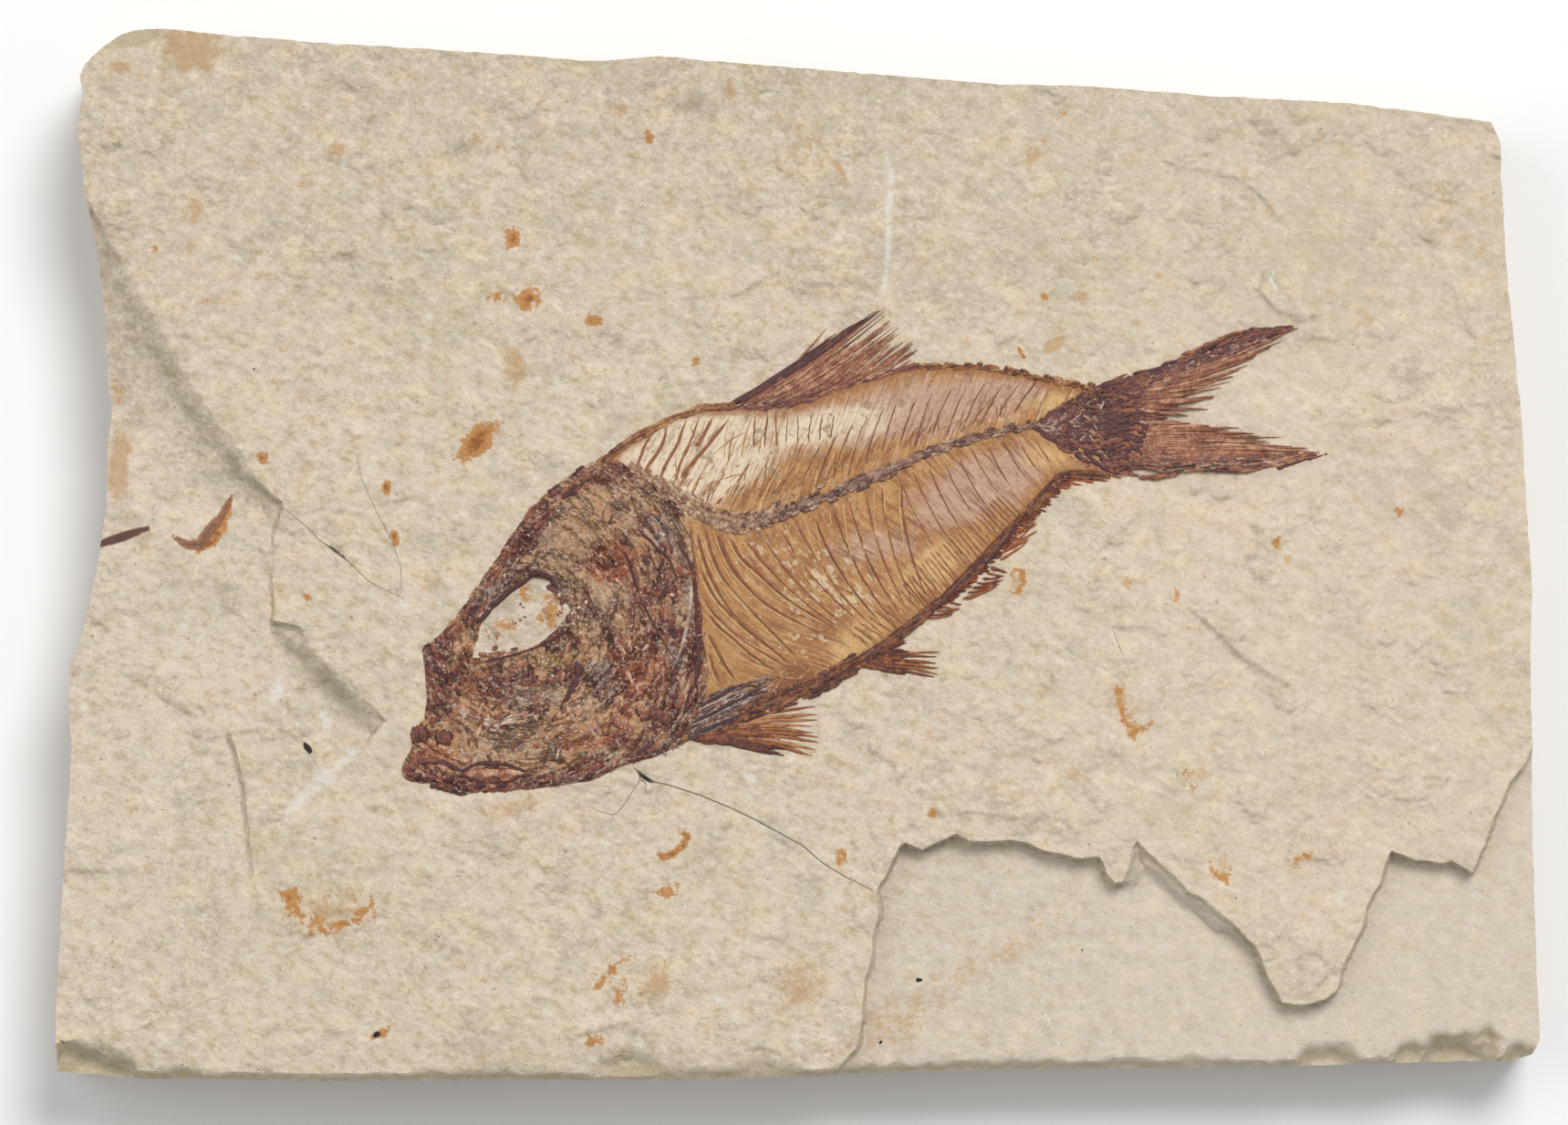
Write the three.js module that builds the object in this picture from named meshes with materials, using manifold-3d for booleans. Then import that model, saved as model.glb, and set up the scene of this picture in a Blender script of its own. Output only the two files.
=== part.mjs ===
// A small slab of split limestone with a flattened fossil fish lying in its upper face.
//
// Frame, in millimetres: the slab lies flat on z = 0, +X runs along its long side from the fish's
// head to its tail, +Y runs towards the fish's back, and the origin is under the slab's middle.

import * as THREE from 'three';
import { mergeVertices } from 'three/addons/utils/BufferGeometryUtils.js';
import Module from 'manifold-3d';

const wasm = await Module();
wasm.setup();

// Driving dimensions of the slab, in millimetres.
const SLAB_LENGTH = 114.4;
const BED_PLANE = 9.0;
const LEFT_PLANE = 9.8;
const FOSSIL_PLANE = 10.6;
const BED_BANDS = [0, 1.7, 3.6, 5.3, 7.4, BED_PLANE];
const BAND_WEAR = 0.45;
const UNDERSIDE_WEAR = 0.7;
const RISER_SLOPE = 0.25;

// Driving dimensions of the fish's relief, in millimetres.
const POCKET_FLOOR = 10.2;
const POCKET_GAP = 0.12;
const WEB_TOP = FOSSIL_PLANE + 0.12;
const TRUNK_TOP = FOSSIL_PLANE + 0.2;
const SKULL_TOP = FOSSIL_PLANE + 0.38;
const EDGE_BEVEL = 0.15;
const BONE_RISE = 0.2;
const COLUMN_RISE = 0.34;
const VERTEBRA_LENGTH = 0.86;
const VERTEBRA_RIM = 1.05;
const VERTEBRA_WAIST = 0.72;
const RIB_WIDTH = 0.42;
const SPINE_WIDTH = 0.3;
const RAY_WIDTH = 0.45;
const RAY_RISE = 0.16;

// Outlines are read off the photograph in its own pixels, x to the right and y down. The slab's
// length in pixels sets their scale.
const PHOTO_LEFT = 57;
const PHOTO_RIGHT = 1690;
const PHOTO_TOP = 30;
const PHOTO_BOTTOM = 1186;
const MM_PER_PIXEL = SLAB_LENGTH / (PHOTO_RIGHT - PHOTO_LEFT);

// The slab's outer edge, anticlockwise from its lower left corner.
const BOTTOM_LEFT_EDGE = [
  [61, 1176], [150, 1183], [350, 1186], [575, 1185], [725, 1185], [880, 1181], [915, 1179],
];
const BOTTOM_RIGHT_EDGE = [
  [1100, 1174], [1250, 1172], [1400, 1171], [1550, 1167], [1660, 1165], [1682, 1158],
  [1690, 1140], [1686, 1050], [1682, 915],
];
const RIGHT_EDGE = [
  [1681, 825], [1678, 735], [1680, 645], [1674, 555], [1669, 465], [1660, 375], [1651, 285],
  [1645, 155],
];
const TOP_EDGE = [
  [1635, 134], [1600, 128], [1475, 112], [1325, 104], [1175, 93], [1100, 92], [950, 80],
  [800, 68], [725, 60], [690, 64], [650, 66], [500, 55], [350, 46], [215, 35], [181, 30],
  [150, 31], [131, 37], [119, 50], [108, 62], [92, 71], [87, 84], [90, 104], [84, 145],
  [93, 212],
];
const LEFT_EDGE = [
  [105, 275], [114, 345], [117, 415], [122, 450], [117, 485], [116, 555], [105, 625],
  [89, 695], [75, 730], [74, 765], [77, 835], [67, 975], [59, 1115],
];

// The fossil layer's own ledges: around the bay at the lower right, and along the left side.
const BAY_LEDGE = [
  [926, 1163], [939, 1147], [945, 1113], [952, 1055], [963, 1002], [962, 978], [976, 947],
  [990, 921], [1012, 932], [1029, 922], [1048, 913], [1065, 922], [1107, 920], [1151, 933],
  [1180, 941], [1205, 939], [1215, 959], [1224, 972], [1243, 964], [1269, 960], [1289, 976],
  [1303, 992], [1322, 1006], [1352, 1022], [1376, 1041], [1392, 1072], [1405, 1098],
  [1432, 1100], [1455, 1094], [1466, 1085], [1475, 1052], [1495, 1017], [1499, 994],
  [1513, 965], [1525, 935], [1545, 941], [1578, 948], [1595, 946], [1615, 957], [1627, 926],
  [1638, 897], [1652, 863],
];
const LEFT_LEDGE = [
  [114, 247], [140, 287], [166, 339], [190, 382], [230, 449], [256, 480], [277, 518],
  [299, 541], [315, 552], [308, 564], [300, 592], [299, 629], [301, 679], [329, 686],
  [337, 704], [371, 738], [405, 767], [424, 790], [402, 814], [347, 834], [333, 820],
  [321, 807], [288, 801], [252, 804], [261, 830], [268, 859], [272, 904], [279, 960],
  [283, 1020], [262, 1085], [190, 1122], [110, 1142],
];

// Thin flakes left standing on the planes: outline and thickness in millimetres.
const FLAKES = [
  {
    plane: LEFT_PLANE,
    rise: 0.35,
    edge: [[299, 700], [327, 726], [371, 765], [385, 803], [352, 832], [320, 800], [262, 790]],
  },
  {
    plane: BED_PLANE,
    rise: 0.5,
    edge: [[1236, 900], [1262, 949], [1289, 979], [1305, 1004], [1322, 1020], [1354, 1036],
      [1366, 1020], [1322, 980], [1290, 930]],
  },
  {
    plane: FOSSIL_PLANE,
    rise: 0.18,
    edge: [[180, 36], [330, 47], [640, 68], [610, 96], [505, 104], [420, 92], [330, 110],
      [240, 98], [196, 80]],
  },
  {
    plane: FOSSIL_PLANE,
    rise: 0.16,
    edge: [[1010, 852], [1058, 866], [1141, 868], [1180, 885], [1141, 898], [1028, 894],
      [985, 880]],
  },
];

// Cracks through the fossil layer: path, mouth width and depth in millimetres.
const CRACKS = [
  {
    path: [[700, 849], [710, 855], [735, 861], [768, 872], [829, 899], [880, 927], [900, 945],
      [957, 976]],
    width: 0.6,
    depth: 0.6,
  },
  { path: [[698, 853], [685, 880], [674, 893], [653, 887]], width: 0.35, depth: 0.4 },
  {
    path: [[316, 560], [337, 578], [360, 599], [378, 612], [405, 638], [441, 656]],
    width: 0.55,
    depth: 0.5,
  },
  { path: [[397, 527], [414, 563], [429, 592], [439, 620]], width: 0.25, depth: 0.35 },
];

// Chips broken out of the slab's rim: place in the photograph, reach along and across the rim.
const CHIPS = [
  { at: [1460, 1184], along: 4.2, across: 3.1, depth: 3.2 },
  { at: [1586, 1180], along: 4.0, across: 3.9, depth: 2.8 },
  { at: [1648, 1182], along: 2.6, across: 2.3, depth: 2.0 },
  { at: [1222, 1186], along: 2.6, across: 1.8, depth: 1.6 },
  { at: [1076, 1188], along: 3.0, across: 1.9, depth: 1.8 },
  { at: [790, 1200], along: 5.0, across: 2.4, depth: 2.2 },
  { at: [640, 1202], along: 4.0, across: 2.4, depth: 2.0 },
  { at: [84, 1190], along: 3.4, across: 2.8, depth: 2.4 },
  { at: [1655, 112], along: 3.0, across: 2.4, depth: 2.4 },
];
const CHIP_SEGMENTS = [10, 6];

// The fish's outlines, anticlockwise as seen in the photograph's upright view.
const TRUNK = [
  [749, 815], [760, 800], [800, 790], [844, 776], [872, 767], [912, 745], [940, 728],
  [962, 711], [996, 685], [1031, 659], [1060, 628], [1085, 601], [1112, 573], [1142, 542],
  [1165, 521], [1190, 519], [1200, 470], [1193, 424], [1134, 413], [1096, 405], [1041, 399],
  [1013, 400], [960, 413], [900, 433], [866, 445], [786, 446], [752, 451], [717, 463],
  [695, 480], [649, 508], [640, 600], [660, 760],
];
const SKULL = [
  [441, 848], [450, 856], [475, 859], [484, 867], [506, 872], [526, 867], [570, 866],
  [609, 861], [647, 855], [685, 839], [717, 829], [749, 815], [766, 788], [780, 738],
  [777, 704], [765, 650], [758, 593], [753, 562], [740, 540], [712, 522], [680, 506],
  [649, 508], [606, 535], [583, 559], [563, 585], [542, 618], [506, 669], [481, 699],
  [462, 710], [466, 735], [470, 766], [468, 790], [455, 796], [452, 821], [441, 837],
];
const ORBIT = [
  [517, 722], [563, 716], [588, 707], [609, 692], [626, 669], [619, 657], [606, 638],
  [583, 633], [558, 648], [542, 666], [528, 684],
];
const TAIL_WEB = [
  [1180, 520], [1207, 518], [1255, 525], [1319, 516], [1383, 516], [1430, 508], [1458, 498],
  [1405, 486], [1341, 470], [1306, 465], [1277, 458], [1312, 453], [1336, 434], [1350, 413],
  [1373, 394], [1418, 359], [1383, 362], [1351, 365], [1319, 381], [1287, 394], [1223, 414],
  [1188, 424],
];
const DORSAL_WEB = [
  [828, 450], [1014, 406], [1001, 397], [988, 388], [1004, 379], [974, 374], [984, 360],
  [970, 345], [931, 356], [901, 373], [875, 389], [847, 410], [792, 444],
];
const ANAL_WEB = [
  [996, 682], [1014, 687], [1040, 668], [1067, 652], [1103, 630], [1118, 603], [1138, 578],
  [1144, 565], [1170, 535], [1219, 525], [1170, 514], [1142, 538], [1085, 596],
];
const PELVIC_WEB = [
  [940, 728], [957, 736], [982, 741], [1027, 743], [1031, 715], [1006, 717], [962, 709],
];
const PECTORAL_WEB = [
  [752, 812], [793, 807], [832, 816], [890, 829], [897, 810], [893, 778], [848, 770],
  [800, 786],
];

// The backbone's line, and the places where bones and rays start and end.
const BACKBONE = [
  [690, 516], [720, 532], [753, 553], [778, 572], [800, 580], [825, 577], [875, 558],
  [926, 537], [977, 513], [1032, 491], [1089, 474], [1136, 466], [1168, 462],
];
const RIBS = [
  [[761, 588], [770, 616], [792, 662], [829, 696], [854, 722]],
  [[773, 581], [796, 642], [847, 691], [890, 736]],
  [[784, 584], [809, 635], [854, 670], [900, 694]],
  [[799, 588], [827, 627], [869, 661], [912, 682]],
  [[826, 586], [876, 644], [920, 668]],
  [[850, 578], [880, 620], [926, 648]],
  [[777, 672], [801, 697], [848, 734]],
  [[778, 700], [792, 722], [806, 750]],
];
const NAPE_BARS = [
  [[696, 526], [714, 476]],
  [[707, 530], [731, 468]],
  [[724, 538], [752, 461]],
  [[743, 545], [768, 457]],
  [[762, 552], [799, 461]],
];
const NEURAL_ROOTS = [[786, 566], [1126, 458]];
const NEURAL_TIPS = [[820, 460], [1150, 424]];
const NEURAL_COUNT = 19;
const HAEMAL_ROOTS = [[958, 532], [1128, 478]];
const HAEMAL_TIPS = [[986, 622], [1150, 522]];
const HAEMAL_COUNT = 10;
const FINS = {
  tailUpper: { roots: [[1172, 430], [1188, 462]], tips: [[1400, 366], [1292, 452]], count: 9 },
  tailLower: { roots: [[1188, 466], [1176, 510]], tips: [[1300, 467], [1432, 504]], count: 9 },
  dorsal: { roots: [[808, 445], [985, 405]], tips: [[956, 350], [996, 396]], count: 7 },
  anal: { roots: [[1010, 674], [1165, 522]], tips: [[1024, 678], [1196, 524]], count: 14 },
  pelvic: { roots: [[944, 727], [960, 713]], tips: [[1024, 741], [1028, 718]], count: 4 },
  pectoral: { roots: [[764, 806], [800, 788]], tips: [[888, 826], [888, 782]], count: 6 },
};

// Raised bones of the head: middle, half length, half breadth, rise above the skull and turn.
const HEAD_BONES = [
  { at: [560, 606], half: [5.4, 1.0], rise: 0.34, turn: 52 },
  { at: [628, 566], half: [4.6, 2.2], rise: 0.34, turn: 32 },
  { at: [690, 532], half: [3.6, 1.6], rise: 0.3, turn: 20 },
  { at: [500, 706], half: [3.0, 1.2], rise: 0.3, turn: 48 },
  { at: [497, 762], half: [1.7, 2.6], rise: 0.3, turn: 0 },
  { at: [540, 850], half: [2.9, 0.9], rise: 0.34, turn: 4 },
  { at: [560, 798], half: [5.6, 1.3], rise: 0.28, turn: 6 },
  { at: [640, 806], half: [3.4, 2.1], rise: 0.3, turn: 24 },
  { at: [615, 740], half: [3.9, 1.2], rise: 0.3, turn: 24 },
  { at: [668, 700], half: [1.7, 4.6], rise: 0.32, turn: -6 },
  { at: [724, 654], half: [2.6, 4.9], rise: 0.34, turn: -4 },
  { at: [716, 772], half: [3.4, 2.2], rise: 0.28, turn: 30 },
  { at: [461, 806], half: [0.75, 0.75], rise: 0.36, turn: 0 },
  { at: [488, 808], half: [0.75, 0.75], rise: 0.36, turn: 0 },
];
const BONE_SEGMENTS = [12, 8];

const STONE_COLOUR = 0xd9c9b1;
const BONE_COLOUR = 0xa8845f;
const STONE_ROUGHNESS = 0.9;
const BONE_ROUGHNESS = 0.62;

// Places in the photograph become places in the slab's frame.
function onSlab([x, y]) {
  const middleX = (PHOTO_LEFT + PHOTO_RIGHT) / 2;
  const middleY = (PHOTO_TOP + PHOTO_BOTTOM) / 2;
  return new THREE.Vector2((x - middleX) * MM_PER_PIXEL, (middleY - y) * MM_PER_PIXEL);
}

// An outline in the slab's frame, always anticlockwise.
function outlineOf(edge) {
  const outline = edge.map(onSlab);
  return THREE.ShapeUtils.isClockWise(outline) ? outline.reverse() : outline;
}

function between(ends, t) {
  return [0, 1].map((axis) => THREE.MathUtils.lerp(ends[0][axis], ends[1][axis], t));
}

// A repeatable uneven value between 0 and 1 for the wear at one point of one band.
function unevenness(point, band) {
  const wave = Math.sin(point * 12.9898 + band * 78.233) * 43758.5453;
  return wave - Math.floor(wave);
}

// An outline moved outwards by a distance, or by one distance for each of its points.
function grown(outline, distance) {
  const reach = (i) => (typeof distance === 'number' ? distance : distance[i]);
  return outline.map((point, i) => {
    const before = outline[(i + outline.length - 1) % outline.length];
    const after = outline[(i + 1) % outline.length];
    const first = point.clone().sub(before).normalize();
    const second = after.clone().sub(point).normalize();
    const normal = new THREE.Vector2(first.y + second.y, -first.x - second.x).normalize();
    const square = Math.max(normal.x * first.y - normal.y * first.x, 0.6);
    return point.clone().addScaledVector(normal, reach(i) / square);
  });
}

function solid(geometry) {
  const plain = new THREE.BufferGeometry();
  plain.setAttribute('position', geometry.getAttribute('position'));
  plain.setIndex(geometry.getIndex());
  const merged = mergeVertices(plain, 1e-5);
  return new wasm.Manifold(new wasm.Mesh({
    numProp: 3,
    vertProperties: new Float32Array(merged.getAttribute('position').array),
    triVerts: new Uint32Array(merged.getIndex().array),
  }));
}

function closedSolid(points, faces) {
  const geometry = new THREE.BufferGeometry();
  geometry.setAttribute('position', new THREE.Float32BufferAttribute(points.flat(), 3));
  geometry.setIndex(faces.flat());
  return solid(geometry);
}

function joined(solids) {
  return solids.reduce((whole, next) => whole.add(next));
}

function cut(whole, tools) {
  return tools.reduce((rest, tool) => rest.subtract(tool), whole);
}

// A block between two outlines with the same number of points, at two heights.
function block(lowOutline, highOutline, low, high) {
  const count = lowOutline.length;
  const points = [
    ...lowOutline.map((point) => [point.x, point.y, low]),
    ...highOutline.map((point) => [point.x, point.y, high]),
  ];
  const lowCap = THREE.ShapeUtils.triangulateShape(lowOutline, []);
  const highCap = THREE.ShapeUtils.triangulateShape(highOutline, []);
  const faces = [
    ...lowCap.map(([a, b, c]) => [a, c, b]),
    ...highCap.map(([a, b, c]) => [a + count, b + count, c + count]),
  ];
  for (let i = 0; i < count; i += 1) {
    const next = (i + 1) % count;
    faces.push([i, next, next + count], [i, next + count, i + count]);
  }
  return closedSolid(points, faces);
}

// A bar along a path whose sections are rings of points, given for each step of the path.
function bar(path, sectionAt) {
  const sections = path.map((point, i) => {
    const before = path[Math.max(i - 1, 0)];
    const after = path[Math.min(i + 1, path.length - 1)];
    const along = after.clone().sub(before).normalize();
    const left = new THREE.Vector2(-along.y, along.x);
    return sectionAt(i / (path.length - 1), i).map(([across, height]) => {
      const place = point.clone().addScaledVector(left, across);
      return [place.x, place.y, height];
    });
  });
  const ring = sections[0].length;
  const last = (sections.length - 1) * ring;
  const faces = [];
  for (let i = 0; i < sections.length - 1; i += 1) {
    for (let k = 0; k < ring; k += 1) {
      const a = i * ring + k;
      const b = i * ring + ((k + 1) % ring);
      faces.push([a, b, b + ring], [a, b + ring, a + ring]);
    }
  }
  for (let k = 1; k < ring - 1; k += 1) {
    faces.push([0, k + 1, k], [last, last + k, last + k + 1]);
  }
  return closedSolid(sections.flat(), faces);
}

// A ridge with a flat foot and a crest, tapering from its root to its tip.
function ridge(pixels, { low, root, tip, width }) {
  return bar(pixels.map(onSlab), (t) => {
    const half = THREE.MathUtils.lerp(width, width * 0.5, t) / 2;
    const crest = THREE.MathUtils.lerp(root, tip, t);
    return [[half, low], [0, crest], [-half, low]];
  });
}

// A round lump or hollow, part of an ellipsoid.
function lump(at, z, radii, turn, segments) {
  const place = onSlab(at);
  const geometry = new THREE.SphereGeometry(1, ...segments);
  geometry.rotateX(Math.PI / 2);
  geometry.scale(...radii);
  geometry.rotateZ(THREE.MathUtils.degToRad(turn));
  geometry.translate(place.x, place.y, z);
  return solid(geometry);
}

// One worn band of the slab's lower part, its rim stepping in and out like broken bedding.
function bedBand(index) {
  const outline = outlineOf([
    ...BOTTOM_LEFT_EDGE, ...BOTTOM_RIGHT_EDGE, ...RIGHT_EDGE, ...TOP_EDGE, ...LEFT_EDGE,
  ]);
  const underside = index === 0 ? UNDERSIDE_WEAR : 0;
  const wear = outline.map((_, i) => -BAND_WEAR * unevenness(i, index + 1));
  const low = grown(outline, wear.map((value) => value - underside));
  return block(low, grown(outline, wear), BED_BANDS[index], BED_BANDS[index + 1]);
}

function upperLayer(edges, low, high) {
  const outline = outlineOf(edges.flat());
  return block(outline, grown(outline, -RISER_SLOPE), low, high);
}

function flake({ plane, rise, edge }) {
  const outline = outlineOf(edge);
  return block(outline, grown(outline, -rise), plane - 0.1, plane + rise);
}

// A crack is a wedge, widest in its middle, whose mouth opens above the fossil plane.
function crack({ path, width, depth }) {
  return bar(path.map(onSlab), (t) => {
    const half = (0.15 + 0.85 * Math.sin(Math.PI * t)) * width / 2;
    const mouth = FOSSIL_PLANE + 0.3;
    return [[half, mouth], [-half, mouth], [0, FOSSIL_PLANE - depth]];
  });
}

function chip({ at, along, across, depth }) {
  return lump(at, FOSSIL_PLANE, [along, across, depth], 0, CHIP_SEGMENTS);
}

// The hollow that the thick part of the fish lies in, with the eye's island left standing.
function pocket() {
  const hollows = [TRUNK, SKULL].map((edge) => {
    const outline = grown(outlineOf(edge), POCKET_GAP);
    return block(outline, outline, POCKET_FLOOR, FOSSIL_PLANE + 1);
  });
  const island = grown(outlineOf(ORBIT), -POCKET_GAP);
  return joined(hollows).subtract(block(island, island, POCKET_FLOOR - 1, FOSSIL_PLANE + 2));
}

function slabSolid() {
  const bands = BED_BANDS.slice(1).map((_, index) => bedBand(index));
  const left = upperLayer(
    [BOTTOM_LEFT_EDGE, BAY_LEDGE, RIGHT_EDGE, TOP_EDGE, LEFT_EDGE], BED_PLANE, LEFT_PLANE,
  );
  const fossil = upperLayer(
    [BOTTOM_LEFT_EDGE, BAY_LEDGE, RIGHT_EDGE, TOP_EDGE, LEFT_LEDGE], LEFT_PLANE, FOSSIL_PLANE,
  );
  const whole = joined([...bands, left, fossil, ...FLAKES.map(flake)]);
  return cut(whole, [...CRACKS.map(crack), ...CHIPS.map(chip), pocket()]);
}

function plate(edge, low, high) {
  const outline = outlineOf(edge);
  const shoulder = grown(outline, -EDGE_BEVEL);
  return block(outline, outline, low, high - EDGE_BEVEL / 2)
    .add(block(outline, shoulder, high - EDGE_BEVEL / 2, high));
}

function web(edge) {
  const outline = outlineOf(edge);
  return block(outline, grown(outline, -EDGE_BEVEL / 2), FOSSIL_PLANE, WEB_TOP);
}

// The backbone: one bar that swells at the rims of each vertebra and narrows at its waist.
function backbone() {
  const curve = new THREE.SplineCurve(BACKBONE.map(onSlab));
  const steps = 2 * Math.round(curve.getLength() / VERTEBRA_LENGTH);
  return bar(curve.getSpacedPoints(steps), (t, i) => {
    const taper = THREE.MathUtils.lerp(1, 0.72, t);
    const breadth = (i % 2 === 0 ? VERTEBRA_RIM : VERTEBRA_WAIST) * taper / 2;
    const rise = TRUNK_TOP + (i % 2 === 0 ? 1 : 0.6) * COLUMN_RISE * taper;
    return [[breadth, POCKET_FLOOR + 0.1], [breadth * 0.55, rise], [-breadth * 0.55, rise],
      [-breadth, POCKET_FLOOR + 0.1]];
  });
}

function trunkBone(path, width) {
  const low = TRUNK_TOP - 0.1;
  return ridge(path, { low, root: TRUNK_TOP + BONE_RISE, tip: TRUNK_TOP + 0.08, width });
}

function spines(roots, tips, count) {
  return Array.from({ length: count }, (_, i) => {
    const t = i / (count - 1);
    return trunkBone([between(roots, t), between(tips, t)], SPINE_WIDTH);
  });
}

function finRays({ roots, tips, count }) {
  return Array.from({ length: count }, (_, i) => {
    const t = i / (count - 1);
    const crest = WEB_TOP + RAY_RISE;
    const shape = { low: FOSSIL_PLANE, root: crest, tip: crest - 0.06, width: RAY_WIDTH };
    return ridge([between(roots, t), between(tips, t)], shape);
  });
}

function headBone({ at, half, rise, turn }) {
  return lump(at, SKULL_TOP, [...half, rise], turn, BONE_SEGMENTS);
}

function fishSolid() {
  const body = joined([
    plate(TRUNK, POCKET_FLOOR, TRUNK_TOP),
    plate(SKULL, POCKET_FLOOR, SKULL_TOP),
    ...HEAD_BONES.map(headBone),
  ]);
  const orbit = outlineOf(ORBIT);
  const withEye = body.subtract(block(orbit, orbit, POCKET_FLOOR - 1, SKULL_TOP + 2));
  return joined([
    withEye,
    ...[TAIL_WEB, DORSAL_WEB, ANAL_WEB, PELVIC_WEB, PECTORAL_WEB].map(web),
    ...Object.values(FINS).flatMap(finRays),
    backbone(),
    ...RIBS.map((path) => trunkBone(path, RIB_WIDTH)),
    ...NAPE_BARS.map((path) => trunkBone(path, RIB_WIDTH)),
    ...spines(NEURAL_ROOTS, NEURAL_TIPS, NEURAL_COUNT),
    ...spines(HAEMAL_ROOTS, HAEMAL_TIPS, HAEMAL_COUNT),
  ]);
}

// The largest piece of a solid, without the slivers that a join can leave where planes meet.
function largestPiece(shape) {
  return shape.decompose().sort((a, b) => b.volume() - a.volume())[0];
}

function part(name, shape, colour, roughness) {
  const mesh = largestPiece(shape).getMesh();
  const geometry = new THREE.BufferGeometry();
  geometry.setAttribute('position', new THREE.BufferAttribute(mesh.vertProperties, 3));
  geometry.setIndex(new THREE.BufferAttribute(mesh.triVerts, 1));
  const flat = geometry.toNonIndexed();
  flat.computeVertexNormals();
  const material = new THREE.MeshStandardMaterial({ color: colour, roughness, metalness: 0 });
  const object = new THREE.Mesh(flat, material);
  object.name = name;
  return object;
}

const fossil = new THREE.Group();
fossil.name = 'fossil_fish_slab';
fossil.add(part('slab', slabSolid(), STONE_COLOUR, STONE_ROUGHNESS));
fossil.add(part('fish', fishSolid(), BONE_COLOUR, BONE_ROUGHNESS));

export default fossil;
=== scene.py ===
"""A slab of pale split limestone with a flattened fossil fish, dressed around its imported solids.

Lengths are in millimetres until a mesh is made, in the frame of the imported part: the slab lies on
z = 0, +X runs from the fish's head to its tail and +Y towards its back. Places are read off the
photograph in pixels, x to the right and y down, and `place` turns them into the slab's frame.
"""

import sys

import logging
import math
from dataclasses import dataclass
from enum import Enum
from typing import Callable, Sequence

import bpy
import numpy as np
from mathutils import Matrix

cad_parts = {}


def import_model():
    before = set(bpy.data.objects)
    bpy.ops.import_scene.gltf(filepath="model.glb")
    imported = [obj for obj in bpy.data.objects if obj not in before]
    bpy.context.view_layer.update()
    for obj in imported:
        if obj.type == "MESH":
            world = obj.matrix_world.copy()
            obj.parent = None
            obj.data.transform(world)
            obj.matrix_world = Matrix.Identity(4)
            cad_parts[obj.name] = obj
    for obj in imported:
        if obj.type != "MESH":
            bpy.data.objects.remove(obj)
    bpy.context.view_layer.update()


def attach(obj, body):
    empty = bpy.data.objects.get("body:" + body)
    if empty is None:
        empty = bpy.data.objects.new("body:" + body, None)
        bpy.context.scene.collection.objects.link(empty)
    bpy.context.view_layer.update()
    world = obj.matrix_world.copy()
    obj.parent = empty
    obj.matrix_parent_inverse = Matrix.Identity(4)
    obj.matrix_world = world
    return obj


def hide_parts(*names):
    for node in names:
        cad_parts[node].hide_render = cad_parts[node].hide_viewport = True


log = logging.getLogger("fossil")

MM = 0.001
SLAB_LENGTH = 114.4
PHOTO_SIZE = (1719, 1233)
PHOTO_SPAN = (57, 1690)
PHOTO_MIDDLE = (873.5, 608.0)
MM_PER_PIXEL = SLAB_LENGTH / (PHOTO_SPAN[1] - PHOTO_SPAN[0])

# Heights of the stone's planes, and of what lies on them.
BED_PLANE = 9.0
LEFT_PLANE = 9.8
FOSSIL_PLANE = 10.6
FILM_RISE = 0.13
BURIED = 0.35
SUMMIT = 11.32
TINY = 1e-9

Pixels = Sequence[tuple[float, float]]
Ground = Callable[[np.ndarray, np.ndarray], np.ndarray]

# The slab's rim, each side from its start corner to its end corner.
BOTTOM_RIM: Pixels = (
    (61, 1176), (150, 1183), (350, 1186), (575, 1185), (725, 1185), (880, 1181), (1100, 1174),
    (1250, 1172), (1400, 1171), (1550, 1167), (1660, 1165), (1682, 1157),
)
RIGHT_RIM: Pixels = (
    (1682, 1157), (1690, 1140), (1686, 1050), (1682, 915), (1681, 825), (1678, 735),
    (1680, 645), (1674, 555), (1669, 465), (1660, 375), (1651, 285), (1645, 155), (1635, 134),
)
TOP_RIM: Pixels = (
    (108, 62), (119, 50), (131, 37), (150, 31), (181, 31), (215, 35), (350, 46), (500, 55),
    (650, 66), (690, 64), (725, 61), (800, 68), (950, 80), (1100, 92), (1175, 93), (1325, 104),
    (1475, 112), (1600, 128), (1635, 134),
)
LEFT_RIM: Pixels = (
    (61, 1176), (60, 1115), (67, 975), (77, 835), (74, 765), (75, 730), (89, 695), (105, 625),
    (116, 555), (117, 485), (122, 450), (117, 415), (114, 345), (105, 275), (93, 212),
    (85, 145), (90, 104), (87, 84), (92, 71), (108, 62),
)

# Where the fossil layer is missing: the bay at the lower right, and the left side.
BAY: Pixels = (
    (915, 1240), (915, 1180), (926, 1163), (939, 1147), (945, 1113), (952, 1055), (963, 1002),
    (961, 976), (976, 947), (990, 920), (1012, 932), (1029, 922), (1048, 913), (1065, 922),
    (1107, 920), (1151, 933), (1180, 941), (1205, 938), (1213, 957), (1223, 971), (1232, 966),
    (1240, 940), (1243, 918), (1256, 931), (1289, 961), (1303, 976), (1322, 986), (1339, 1003),
    (1357, 1018), (1376, 1038), (1392, 1072), (1405, 1098), (1432, 1100), (1455, 1094),
    (1466, 1085), (1475, 1052), (1495, 1017), (1499, 994), (1513, 965), (1525, 932),
    (1545, 939), (1578, 946), (1592, 944), (1614, 955), (1627, 926), (1638, 897), (1652, 863),
    (1681, 822), (1760, 800), (1760, 1240),
)
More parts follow.
